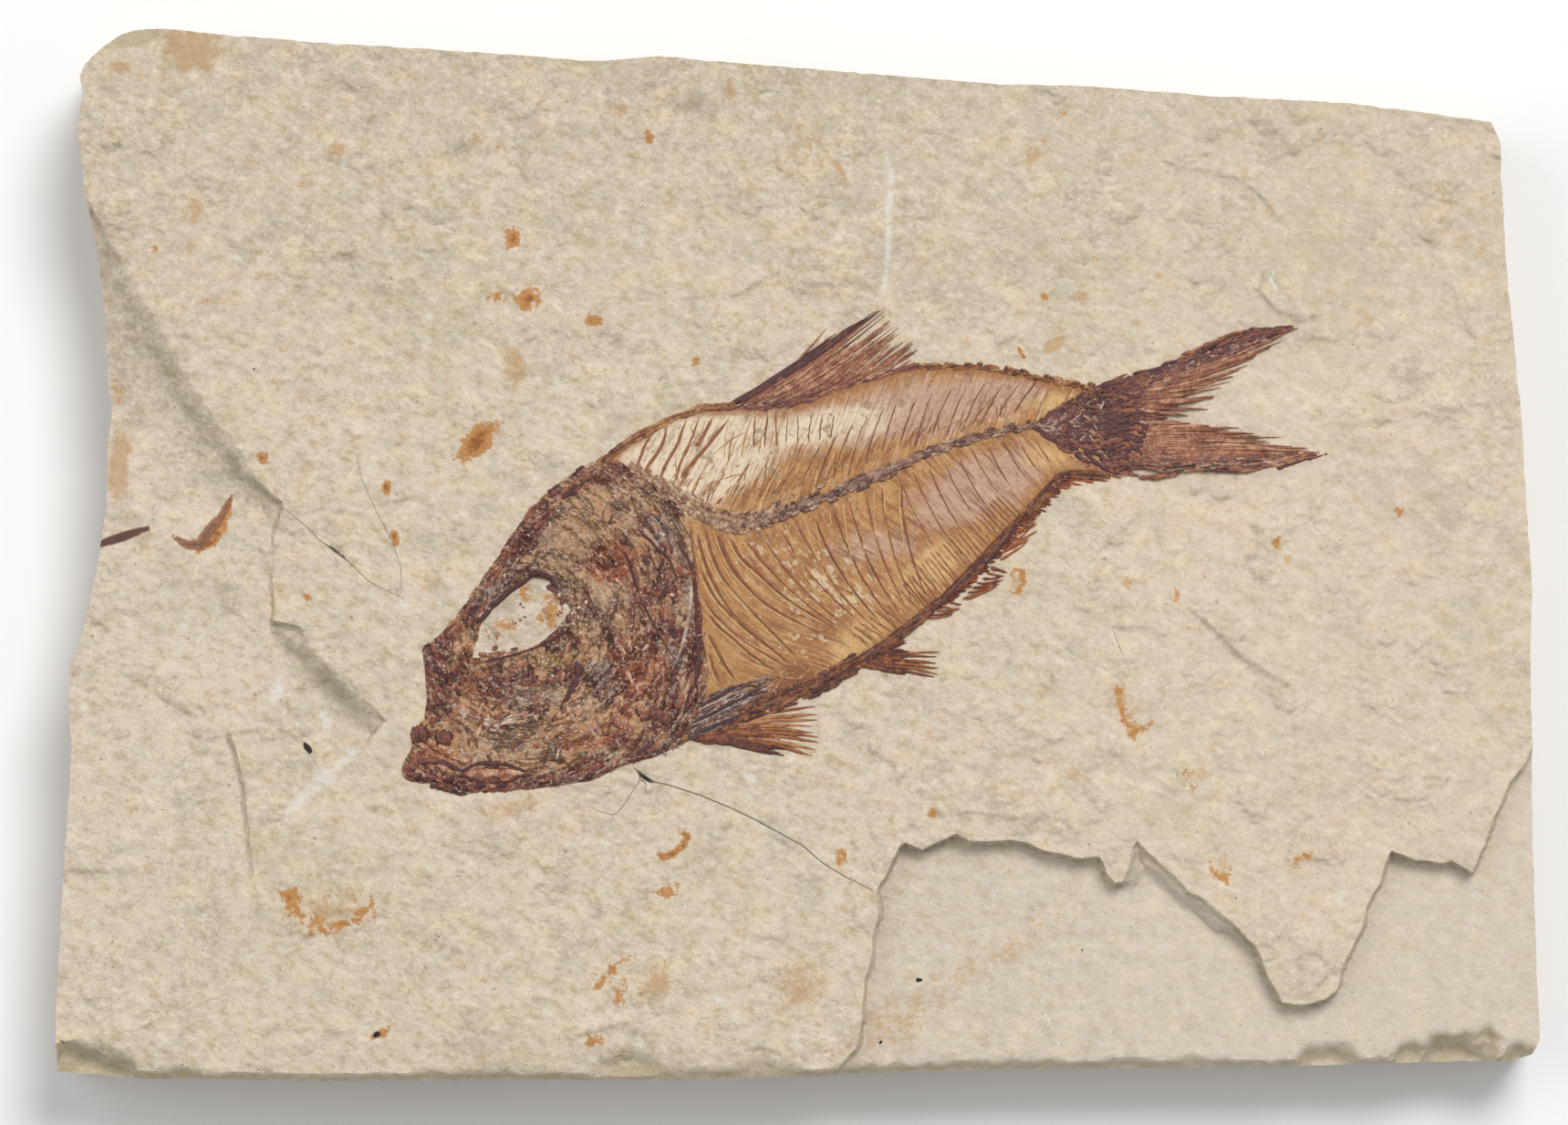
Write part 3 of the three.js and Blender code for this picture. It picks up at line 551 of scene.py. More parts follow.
class Stone:
    """The slab's upper face as a height over the plane.

    height = fossil plane - drop of the bay or the left side + swell + flaking + grain
    + leaf edges - what is broken off
    """

    # Heights in millimetres, and how many leaves and strata share them.
    SWELL = 0.1
    FLAKE_RISE = 0.3
    LEAF_RISE, LEAF_STEPS = 0.065, 7.0
    CRUMBS = 0.14
    WORN_EDGE = 1.1
    STRATA = 4
    NARROWEST_RISER = 0.12

    def __init__(self) -> None:
        self.bay = Region(BAY, 0.22, 11)
        self.left = Region(LEFT_SIDE, 0.14, 12)
        self.flake = Region(LOWER_FLAKE, 0.1, 13)
        self.skull = Region(SKULL)
        self.trunk = Region(BELLY + tuple(reversed(BACK)))
        self.grain = Grain(21)
        self.patches = Grain(22)
        self.leaves = Grain(23)

    def riser(self, x: np.ndarray, y: np.ndarray) -> tuple[np.ndarray, np.ndarray]:
        """Gives how broad the slope under each ledge is, for the bay and the left side."""
        wide, band, bank = (strongest([spot], x, y) for spot in SLOPES)
        uneven = 0.12 * self.patches.at(x, y, 3.0, 2)
        bay = 0.28 + uneven + 1.0 * smooth(wide, 0, 0.5)
        left = 0.26 + uneven + 1.5 * smooth(band, 0, 0.4) + 2.0 * smooth(bank, 0, 0.4)
        return np.maximum(bay, self.NARROWEST_RISER), np.maximum(left, self.NARROWEST_RISER)

    def fish_cover(self, x: np.ndarray, y: np.ndarray) -> np.ndarray:
        """Rises to 1 under the fish, where the face is calm."""
        return smooth(np.maximum(self.skull.depth(x, y), self.trunk.depth(x, y)), -0.8, 0.2)

    def swell(self, x: np.ndarray, y: np.ndarray) -> np.ndarray:
        """The face's broad unevenness, which the fish lies on too."""
        return self.SWELL * self.patches.at(x, y, 30.0, 3)

    def bed(self, x: np.ndarray, y: np.ndarray) -> np.ndarray:
        """Height of the calm bed that the fish lies on."""
        return FOSSIL_PLANE + self.swell(x, y)

    def film(self, x: np.ndarray, y: np.ndarray) -> np.ndarray:
        """Height of the trunk's skin film over that bed."""
        return self.bed(x, y) + FILM_RISE

    def flaking(self, x: np.ndarray, y: np.ndarray) -> np.ndarray:
        """Thin leaves split off the bedding: noise cut into flat treads with short risers."""
        raw = self.leaves.at(x, y, 11.0, 5) + 0.25 * self.leaves.at(x, y, 1.6, 3)
        raw = raw * self.LEAF_STEPS
        tread = np.floor(raw)
        cut = tread + smooth(raw - tread, 0.82, 1.0)
        patchy = smooth(self.patches.at(x + 40, y, 13.0, 3), -0.15, 0.3)
        return self.LEAF_RISE * cut * (0.3 + 0.7 * patchy)

    def height(self, x: np.ndarray, y: np.ndarray) -> np.ndarray:
        """Gives the face's height.

        Args:
            x: Places along X, in millimetres.
            y: Places along Y, in millimetres.

        Returns:
            Heights in millimetres.
        """
        bay_riser, left_riser = self.riser(x, y)
        bay = self.bay.depth(x, y) / bay_riser
        layer = self.STRATA * np.clip(bay, 0, 1)
        strata = (np.floor(layer) + smooth(layer % 1, 0.5, 1)) / self.STRATA
        bay = np.where(bay_riser > 0.7, strata, smooth(bay, 0, 1))
        left = smooth(self.left.depth(x, y) / left_riser, 0, 1)
        fading = smooth(strongest(FAINT_LEDGE, x, y), 0, 0.7)
        flake = smooth(self.flake.depth(x, y) / 0.25, 0, 1)
        left_drop = (FOSSIL_PLANE - LEFT_PLANE) * left * (1 - 0.8 * fading)
        drop = np.maximum((FOSSIL_PLANE - BED_PLANE) * bay, left_drop)
        calm = 1 - self.fish_cover(x, y)
        rough = 1 - 0.75 * bay
        fine = 0.035 * self.grain.at(x, y, 1.1, 3) + 0.05 * self.grain.at(x, y, 4.0, 2)
        crumbled = smooth(strongest(CRUMBLED, x, y), 0, 1.4)
        crumbs = self.CRUMBS * crumbled * self.leaves.at(x + 30, y, 1.3, 4)
        relief = (self.flaking(x, y) * rough + fine * (0.5 + 0.5 * rough) + crumbs) * calm
        swell = self.swell(x, y) * (1 - 0.6 * bay)
        level = FOSSIL_PLANE - drop + self.FLAKE_RISE * flake * left + swell + relief
        return level + self.lips(x, y) - self.broken(x, y)

    def lips(self, x: np.ndarray, y: np.ndarray) -> np.ndarray:
        """The leaves' free edges: a step on each line that dies away on its high side."""
        rise = np.zeros(np.shape(x))
        for lip in LIPS:
            side, along = lip.side(x, y)
            step = smooth(side, -0.08, 0.08) * np.exp(-np.abs(side) / 1.6)
            rise += lip.width * step * np.sin(math.pi * along) ** 0.5
        return rise

    def lip_foot_shade(self, x: np.ndarray, y: np.ndarray) -> np.ndarray:
        """How strongly shade is painted at the foot of a leaf's free edge, 0.6 on it."""
        return np.maximum.reduce([0.6 - np.abs(lip.side(x, y)[0]) / 0.6 for lip in LIPS])

    def broken(self, x: np.ndarray, y: np.ndarray) -> np.ndarray:
        """Depth of what is broken off the rim: the scoops, and a worn strip along the bottom."""
        ragged = 0.2 * self.grain.at(x, y, 1.8, 4)
        scoops = [
            chip.strength * smooth(chip.closeness(x, y) / chip.strength + 1.2 * ragged, 0, 0.5)
            for chip in CHIPS
        ]
        away = np.abs(Seam(BOTTOM_RIM, 0).side(x, y)[0]) / (0.7 + 2.5 * ragged)
        worn = self.WORN_EDGE * smooth(1.1 - away, 0, 1)
        return np.maximum(np.maximum.reduce(scoops), worn)

    def ledges(self) -> tuple[Region, ...]:
        """The regions whose edges are sharp breaks in the face."""
        return self.bay, self.left, self.flake


class Slot(Enum):
    """The record's material slots."""

    STONE = "limestone"
    BONE = "fossil_bone"


class Shell:
    """A closed mesh in the making: points, faces and values carried by the points."""

    def __init__(self) -> None:
        self.points: list[np.ndarray] = []
        self.faces: list[np.ndarray] = []
        self.values: dict[str, list[np.ndarray]] = {}
        self.count = 0

    def add(
        self, points: np.ndarray, faces: Sequence[np.ndarray], values: dict[str, np.ndarray]
    ) -> None:
        """Adds one closed surface.

        Args:
            points: An (n, 3) array in millimetres.
            faces: Arrays of faces, each (m, corners), in the points' own numbering.
            values: One array of n numbers for each named value.
        """
        self.points.append(points)
        self.faces.extend(array + self.count for array in faces)
        for name, array in values.items():
            self.values.setdefault(name, []).append(np.asarray(array, np.float32))
        self.count += len(points)

    def object(self, name: str, crease: float | None = None) -> bpy.types.Object:
        """Makes the Blender object.

        Args:
            name: The piece's name.
            crease: Degrees above which an edge is shaded sharp, or None for smooth all over.

        Returns:
            The object, linked to the scene, at the origin.
        """
        points = np.concatenate(self.points) * MM
        mesh = bpy.data.meshes.new(name)
        mesh.vertices.add(len(points))
        mesh.vertices.foreach_set("co", points.astype(np.float32).ravel())
        sizes = np.concatenate([np.full(len(f), f.shape[1]) for f in self.faces])
        loops = np.concatenate([f.ravel() for f in self.faces]).astype(np.int32)
        mesh.loops.add(len(loops))
        mesh.loops.foreach_set("vertex_index", loops)
        mesh.polygons.add(len(sizes))
        starts = np.concatenate([[0], np.cumsum(sizes)[:-1]]).astype(np.int32)
        mesh.polygons.foreach_set("loop_start", starts)
        mesh.polygons.foreach_set("use_smooth", np.ones(len(sizes), bool))
        mesh.update(calc_edges=True)
        mesh.validate()
        for label, arrays in self.values.items():
            array = np.concatenate(arrays)
            kind, slot = ("FLOAT_VECTOR", "vector") if array.ndim > 1 else ("FLOAT", "value")
            mesh.attributes.new(label, kind, "POINT").data.foreach_set(slot, array.ravel())
        if crease is not None:
            mesh.set_sharp_from_angle(angle=math.radians(crease))
        thing = bpy.data.objects.new(name, mesh)
        bpy.context.scene.collection.objects.link(thing)
        return thing


def outward(points: np.ndarray, faces: Sequence[np.ndarray]) -> list[np.ndarray]:
    """Turns a closed surface's faces round if its signed volume is negative."""
    volume = 0.0
    for array in faces:
        first = points[array[:, 0]]
        for k in range(1, array.shape[1] - 1):
            cross = np.cross(points[array[:, k]], points[array[:, k + 1]])
            volume += float((first * cross).sum())
    return [array[:, ::-1] if volume < 0 else array for array in faces]


def grid_quads(rows: int, columns: int) -> np.ndarray:
    """Gives the quads of a grid of points numbered row by row."""
    index = np.arange(rows * columns).reshape(rows, columns)
    corners = [index[:-1, :-1], index[:-1, 1:], index[1:, 1:], index[1:, :-1]]
    return np.stack(corners, -1).reshape(-1, 4)


def half_round(places: int) -> tuple[np.ndarray, np.ndarray]:
    """Gives a bar's section over a buried foot.

    Args:
        places: How many points the rounded back has.

    Returns:
        How far across each point is, from 1 to -1, and how far up, from 0 to 1, with -1 at the
        two corners of the foot.
    """
    angle = np.linspace(0, math.pi, places)
    side = np.concatenate([[1.0], np.cos(angle), [-1.0]])
    back = np.concatenate([[-1.0], np.sin(angle), [-1.0]])
    return side, back


def bar_faces(steps: int, ring: int) -> list[np.ndarray]:
    """Gives the quads between a bar's sections and the faces at its two ends."""
    index = np.arange(steps * ring).reshape(steps, ring)
    turn = np.roll(index, -1, axis=1)
    quads = np.stack([index[:-1], turn[:-1], turn[1:], index[1:]], -1).reshape(-1, 4)
    return [quads, np.stack([index[0][::-1], index[-1]])]


def leftwards(along: np.ndarray) -> np.ndarray:
    """Turns directions in the plane by a quarter turn anticlockwise."""
    return np.stack([-along[..., 1], along[..., 0]], -1)


def rim_of(rows: int, columns: int) -> np.ndarray:
    """Gives a grid's boundary points in order around it."""
    index = np.arange(rows * columns).reshape(rows, columns)
    return np.concatenate([index[0, :-1], index[:-1, -1], index[-1, :0:-1], index[:0:-1, 0]])


def closed_sheet(
    top: np.ndarray,
    skirts: Sequence[np.ndarray],
    values: dict[str, np.ndarray],
    split: bool = False,
) -> tuple[np.ndarray, list[np.ndarray], dict[str, np.ndarray]]:
    """Closes a grid surface with rings below its boundary and one flat face underneath.

    Args:
        top: A (rows, columns, 3) surface.
        skirts: Rings of points that follow the boundary, from the top down.
        values: Arrays of (rows, columns) for each named value. A ring repeats its boundary's.
        split: Cut each quad along the diagonal whose ends differ less in height.

    Returns:
        Points, faces and values of one closed surface.
    """
    rows, columns = top.shape[:2]
    rim = rim_of(rows, columns)
    points = np.concatenate([top.reshape(-1, 3), *skirts])
    quads = grid_quads(rows, columns)
    faces: list[np.ndarray] = [quads]
    if split:
        z = points[:, 2]
        a, b, c, d = quads.T
        first = (np.abs(z[a] - z[c]) <= np.abs(z[b] - z[d]))[:, None]
        one = np.where(first, np.stack([a, b, c], 1), np.stack([a, b, d], 1))
        two = np.where(first, np.stack([a, c, d], 1), np.stack([b, c, d], 1))
        faces = [np.concatenate([one, two])]
    ring = rim
    for k in range(len(skirts)):
        lower = rows * columns + k * len(rim) + np.arange(len(rim))
        faces.append(np.stack([ring, lower, np.roll(lower, -1), np.roll(ring, -1)], 1))
        ring = lower
    faces.append(ring[None, ::-1])
    spread = {}
    for name, array in values.items():
        flat = array.reshape(rows * columns, *array.shape[2:])
        spread[name] = np.concatenate([flat, *[flat[rim]] * len(skirts)])
    return points, outward(points, faces), spread


def closed_ring(
    top: np.ndarray, floor: float, values: dict[str, np.ndarray]
) -> tuple[np.ndarray, list[np.ndarray], dict[str, np.ndarray]]:
    """Closes a surface that runs round a hole with walls down to a floor.

    Args:
        top: A (rings, around, 3) surface, from the hole outwards.
        floor: Height of the floor, in millimetres.
        values: Arrays of (rings, around) for each named value.

    Returns:
        Points, faces and values of one closed surface.
    """
    rings, around = top.shape[:2]
    inner, outer = top[0].copy(), top[-1].copy()
    inner[:, 2] = outer[:, 2] = floor
    stack = np.concatenate([inner[None], top, outer[None]])
    index = np.arange((rings + 2) * around).reshape(rings + 2, around)
    low, high = index, np.roll(index, -1, axis=0)
    quads = np.stack([low, np.roll(low, -1, axis=1), np.roll(high, -1, axis=1), high], -1)
    points = stack.reshape(-1, 3)
    spread = {
        name: np.concatenate([array[:1], array, array[-1:]]).reshape(-1, *array.shape[2:])
        for name, array in values.items()
    }
    return points, outward(points, [quads.reshape(-1, 4)]), spread


@dataclass(frozen=True)
class Batch:
    """Strands that are built alike.

    Attributes:
        lines: Their courses in the photograph, (count, places, 2).
        width: Breadth at the root and at the tip, in pixels.
        rise: Height over the ground, in millimetres.
        tones: One tone each, from 0, the darkest colour, to 1, the palest.
        lift: Height of the ground over its own surface, in millimetres.
    """

    lines: np.ndarray
    width: tuple[float, float]
    rise: float
    tones: np.ndarray
    lift: float


@dataclass(frozen=True)
class Bone:
    """One bone on its own: its course in pixels, breadth at both ends, height and tone."""

    line: Pixels
    width: tuple[float, float]
    rise: float
    tone: float
    lift: float = 0.0

    def batch(self, rng: np.random.Generator) -> Batch:
        """Gives the bone as a batch of one."""
        line = np.asarray([self.line], float)
        return Batch(line, self.width, self.rise, np.array([self.tone]), self.lift)


@dataclass(frozen=True)
class Rays:
    """Bones laid side by side, each from a root on one line to a tip on another.

    Attributes:
        roots: The line that they start from, in pixels.
        tips: The line that they end at, in pixels.
        count: How many there are.
        width: Breadth at root and tip, in pixels.
        rise: Height, in millimetres.
        tone: Middle of their tones.
        bend: Sideways bend as a share of the length.
        stray: Unevenness of the tips, in pixels.
        lift: Height of their feet over the ground, in millimetres.
    """

    roots: Pixels
    tips: Pixels
    count: int
    width: tuple[float, float]
    rise: float
    tone: float
    bend: float = 0.0
    stray: float = 2.0
    lift: float = 0.0

    def batch(self, rng: np.random.Generator) -> Batch:
        """Lays the bones out: root + t (tip - root) + sideways 4 t (1 - t) bend."""
        start = resampled(np.asarray(self.roots, float), self.count)
        start = start + rng.normal(0, self.stray * 0.4, start.shape)
        end = resampled(np.asarray(self.tips, float), self.count)
        run = end + rng.normal(0, self.stray, end.shape) - start
        sideways = leftwards(run) * self.bend
        t = np.linspace(0, 1, 4)[None, :, None]
        lines = start[:, None] + run[:, None] * t + sideways[:, None] * (4 * t * (1 - t))
        tones = self.tone + rng.uniform(-0.25, 0.25, self.count)
        return Batch(lines, self.width, self.rise, tones, self.lift)


@dataclass(frozen=True)
class Splinters:
    """Short pieces of bone scattered between two edges and laid along them.

    Attributes:
        first: One edge, in pixels.
        second: The other edge, in the same direction.
        count: How many there are.
        width: Breadth at root and tip, in pixels.
        rise: Height, in millimetres.
        tone: Middle of their tones.
        reach: Longest share of the edges' length that one covers.
        lift: Height of their feet over the ground, in millimetres.
    """

    first: Pixels
    second: Pixels
    count: int
    width: tuple[float, float]
    rise: float
    tone: float
    reach: float = 0.25
    lift: float = 0.0

    def batch(self, rng: np.random.Generator) -> Batch:
        """Lays the pieces out: first(s) + t (second(s) - first(s)), with s over a short range."""
        places = 60
        share = rng.uniform(0, 1, self.count)
        middle = rng.uniform(0, 1, self.count)
        half = self.reach * rng.uniform(0.25, 0.5, self.count)
        spread = np.linspace(-1, 1, 5)
        s = np.clip(middle[:, None] + half[:, None] * spread, 0, 1) * (places - 1)
        edges = (curved(np.asarray(edge, float), places) for edge in (self.first, self.second))
        first, second = (
            np.stack([np.interp(s, np.arange(places), column) for column in edge.T], -1)
            for edge in edges
        )
        drift = share[:, None] + rng.uniform(-0.1, 0.1, (self.count, 1)) * spread
        lines = first + drift[..., None] * (second - first)
        tones = self.tone + rng.uniform(-0.4, 0.4, self.count)
        return Batch(lines, self.width, self.rise, tones, self.lift)


def add_strands(
    shell: Shell, batch: Batch, ground: Ground, steps: int, waver: float, seed: int
) -> None:
    """Adds a batch of strands, each a bar with a rounded back and pointed ends.

    The section at each step is (w cos a, r sin a) for a from 0 to 180 degrees, on a foot that is
    buried in the ground, and w and r fade at both ends.

    Args:
        shell: Where the strands go.
        batch: The strands.
        ground: Gives the height of the ground at places in millimetres.
        steps: How many points each course has.
        waver: How far a course strays sideways, in millimetres.
        seed: Seed of the waver and of the uneven breadth.
    """
    rng = np.random.default_rng(seed)
    grain = Grain(seed)
    count = len(batch.lines)
    lines = np.stack([curved(place(line), steps) for line in batch.lines])
    t = np.linspace(0, 1, steps)
    shift = rng.uniform(0, 90, count)[:, None]
    along = np.gradient(lines, axis=1)
    along /= np.maximum(np.linalg.norm(along, axis=2, keepdims=True), TINY)
    across = leftwards(along)
    lines = lines + across * (waver * grain.at(t * 6 + shift, shift, 1.0, 2))[..., None]
    root, tip = (value * MM_PER_PIXEL / 2 for value in batch.width)
    girth = rng.uniform(0.75, 1.25, count)[:, None]
    rough = 1 + 0.35 * grain.at(t * 11 + shift, shift + 50, 1.0, 2)
    ends = smooth(t, -0.02, 0.12) * smooth(t, 1.04, 0.8)
    half = (root * (1 - t) + tip * t) * rough * girth * (0.15 + 0.85 * ends)
    high = batch.rise * rough * (0.25 + 0.75 * ends)
    foot = ground(lines[..., 0], lines[..., 1]) + batch.lift
    side, back = half_round(5)
    ring = len(side)
    plan = lines[:, :, None] + across[:, :, None] * (half[..., None] * side)[..., None]
    level = np.where(back < 0, foot[..., None] - BURIED, foot[..., None] + high[..., None] * back)
    points = np.concatenate([plan, np.minimum(level, SUMMIT)[..., None]], -1)
    faces = outward(points[0].reshape(-1, 3), bar_faces(steps, ring))
    offsets = (np.arange(count) * steps * ring)[:, None, None]
    spread = [(face[None] + offsets).reshape(-1, face.shape[1]) for face in faces]
    values = {
        "tone": np.repeat(batch.tones, steps * ring),
        "crown": np.tile(np.maximum(back, 0), count * steps),
    }
    shell.add(points.reshape(-1, 3), spread, values)


def linear(red: int, green: int, blue: int) -> tuple[float, float, float, float]:
    """Turns a colour as seen, 0 to 255, into linear light with full alpha."""
    share = [value / 255 for value in (red, green, blue)]
    light = [s / 12.92 if s <= 0.04045 else ((s + 0.055) / 1.055) ** 2.4 for s in share]
    return (*light, 1.0)


class Wire:
    """One number in a material's node tree, with arithmetic that adds Math nodes."""

    def __init__(self, recipe: "Recipe", socket: bpy.types.NodeSocket) -> None:
        self.recipe = recipe
        self.socket = socket

    def _maths(self, operation: str, first: object, second: object) -> "Wire":
        """Joins two numbers with one Math node."""
        node = self.recipe.node("ShaderNodeMath", {"operation": operation}, {0: first, 1: second})
        return Wire(self.recipe, node.outputs[0])

    def __add__(self, other: object) -> "Wire":
        """The sum."""
        return self._maths("ADD", self, other)

    __radd__ = __add__

    def __sub__(self, other: object) -> "Wire":
        """The difference."""
        return self._maths("SUBTRACT", self, other)

    def __rsub__(self, other: object) -> "Wire":
        """The difference, the other way round."""
        return self._maths("SUBTRACT", other, self)

    def __mul__(self, other: object) -> "Wire":
        """The product."""
        return self._maths("MULTIPLY", self, other)

    __rmul__ = __mul__

    def __abs__(self) -> "Wire":
        """The value without its sign."""
        return self._maths("ABSOLUTE", self, 0.0)

    def floor(self) -> "Wire":
        """The whole number below."""
        return self._maths("FLOOR", self, 0.0)

    def step(self, low: object, high: object) -> "Wire":
        """Rises smoothly from 0 at low to 1 at high."""
        node = self.recipe.node(
            "ShaderNodeMapRange",
            {"interpolation_type": "SMOOTHSTEP"},
            {"Value": self, "From Min": low, "From Max": high},
        )
        return Wire(self.recipe, node.outputs[0])


class Recipe:
    """A material in the making, with one method for each kind of step."""

    def __init__(self, name: str) -> None:
        self.material = bpy.data.materials.new(name)
        self.material.use_nodes = True
        self.tree = self.material.node_tree
        self.shader = self.tree.nodes["Principled BSDF"]
        self.where = self.node("ShaderNodeTexCoord", {}, {}).outputs["Object"]

    def node(self, kind: str, settings: dict, inputs: dict) -> bpy.types.Node:
        """Adds a node.

        Args:
            kind: The node's type name.
            settings: Its properties.
            inputs: Its inputs by name or number, each a Wire, a socket or a constant.

        Returns:
            The node.
        """
        node = self.tree.nodes.new(kind)
        for key, value in settings.items():
            setattr(node, key, value)
        for key, value in inputs.items():
            self._feed(node.inputs[key], value)
        return node

    def _feed(self, socket: bpy.types.NodeSocket, value: object) -> None:
        """Links a socket to a wire or another socket, or sets it to a constant."""
        value = value.socket if isinstance(value, Wire) else value
        if isinstance(value, bpy.types.NodeSocket):
            self.tree.links.new(value, socket)
        else:
            socket.default_value = value

    def value(self, name: str) -> Wire:
        """A number that the mesh carries."""
        return Wire(self, self._attribute(name).outputs["Fac"])

    def comb(self) -> bpy.types.NodeSocket:
        """The places along and across the bones that the mesh carries."""
        return self._attribute("comb").outputs["Vector"]

    def _attribute(self, name: str) -> bpy.types.Node:
        """A node that reads one of the mesh's named values."""
        return self.node("ShaderNodeAttribute", {"attribute_name": name}, {})

    def noise(
        self, size: float, detail: float = 4.0, rough: float = 0.6, where: object = None
    ) -> Wire:
        """Noise around 0.5, with features of a size in millimetres, at places or at `where`."""
        inputs = {"Vector": where or self.where, "Scale": 1 / (size * MM)}
        inputs |= {"Detail": detail, "Roughness": rough}
        return Wire(self, self.node("ShaderNodeTexNoise", {}, inputs).outputs["Fac"])

    def _mapped(self, turn: float, stretch: tuple[float, float, float]) -> bpy.types.NodeSocket:
        """Places turned about Z, in degrees, and stretched."""
        inputs = {"Vector": self.where, "Rotation": (0, 0, math.radians(turn)), "Scale": stretch}
        return self.node("ShaderNodeMapping", {"vector_type": "TEXTURE"}, inputs).outputs[0]

    def combed(self, turn: float, stretch: float) -> bpy.types.NodeSocket:
        """Places stretched along a direction, in degrees from X."""
        return self._mapped(turn, (stretch, 1, 1))

    def bedded(self, stretch: float) -> bpy.types.NodeSocket:
        """Places stretched along the stone's bedding, along X and Y alike."""
        return self._mapped(0, (stretch, stretch, 1))

    def warped(self, size: float, amount: float) -> bpy.types.NodeSocket:
        """Places pushed about by noise: place + amount * noise of a size, both in millimetres."""
        push = self.node("ShaderNodeTexNoise", {}, {"Vector": self.where, "Scale": 1 / (size * MM)})
        inputs = {0: push.outputs["Color"], 1: (amount * MM,) * 3, 2: self.where}
        return self.node("ShaderNodeVectorMath", {"operation": "MULTIPLY_ADD"}, inputs).outputs[0]

    def shards(self, size: float, where: object) -> Wire:
        """One random number for each of many close-packed fragments."""
        cells = self.node("ShaderNodeTexVoronoi", {}, {"Vector": where, "Scale": 1 / (size * MM)})
        return Wire(self, cells.outputs["Color"]) + 0.0

    def treads(self, height: Wire, steps: float, riser: float) -> tuple[Wire, Wire]:
        """Cuts a height into flat treads.

        Args:
            height: The height to cut, from 0 to 1.
            steps: How many treads it is cut into.
            riser: Share of a tread that the riser to the next one takes.

        Returns:
            The stepped height, from 0 to 1, and a line that is 1 on the risers.
        """
        raised = height * steps
        whole = raised.floor()
        part = raised - whole
        line = part.step(1 - 1.6 * riser, 1 - 0.5 * riser)
        return (whole + part.step(1 - riser, 1.0)) * (1 / steps), line

    def layers(self, colour: object, *coats: tuple) -> object:
        """Lays coats over a colour, each a share from 0 to 1 and a colour.

        Args:
            colour: The ground colour.
            *coats: Pairs of share and colour, from the lowest coat up.

        Returns:
            The colour on top.
        """
        settings = {"data_type": "RGBA", "blend_type": "MIX", "clamp_factor": True}
        for share, coat in coats:
            colour = self.node("ShaderNodeMix", settings, {0: share, 6: colour, 7: coat}).outputs[2]
        return colour

    def finish(self, colour: object, roughness: float, relief: Wire) -> bpy.types.Material:
        """Wires the surface up.

        Args:
            colour: The base colour.
            roughness: The roughness.
            relief: The fine relief, in millimetres.

        Returns:
            The material.
        """
        bump = self.node("ShaderNodeBump", {}, {"Strength": 1.0, "Distance": MM, "Height": relief})
        inputs = {"Base Color": colour, "Roughness": roughness, "Normal": bump.outputs[0]}
        for name, value in inputs.items():
            self._feed(self.shader.inputs[name], value)
        return self.material


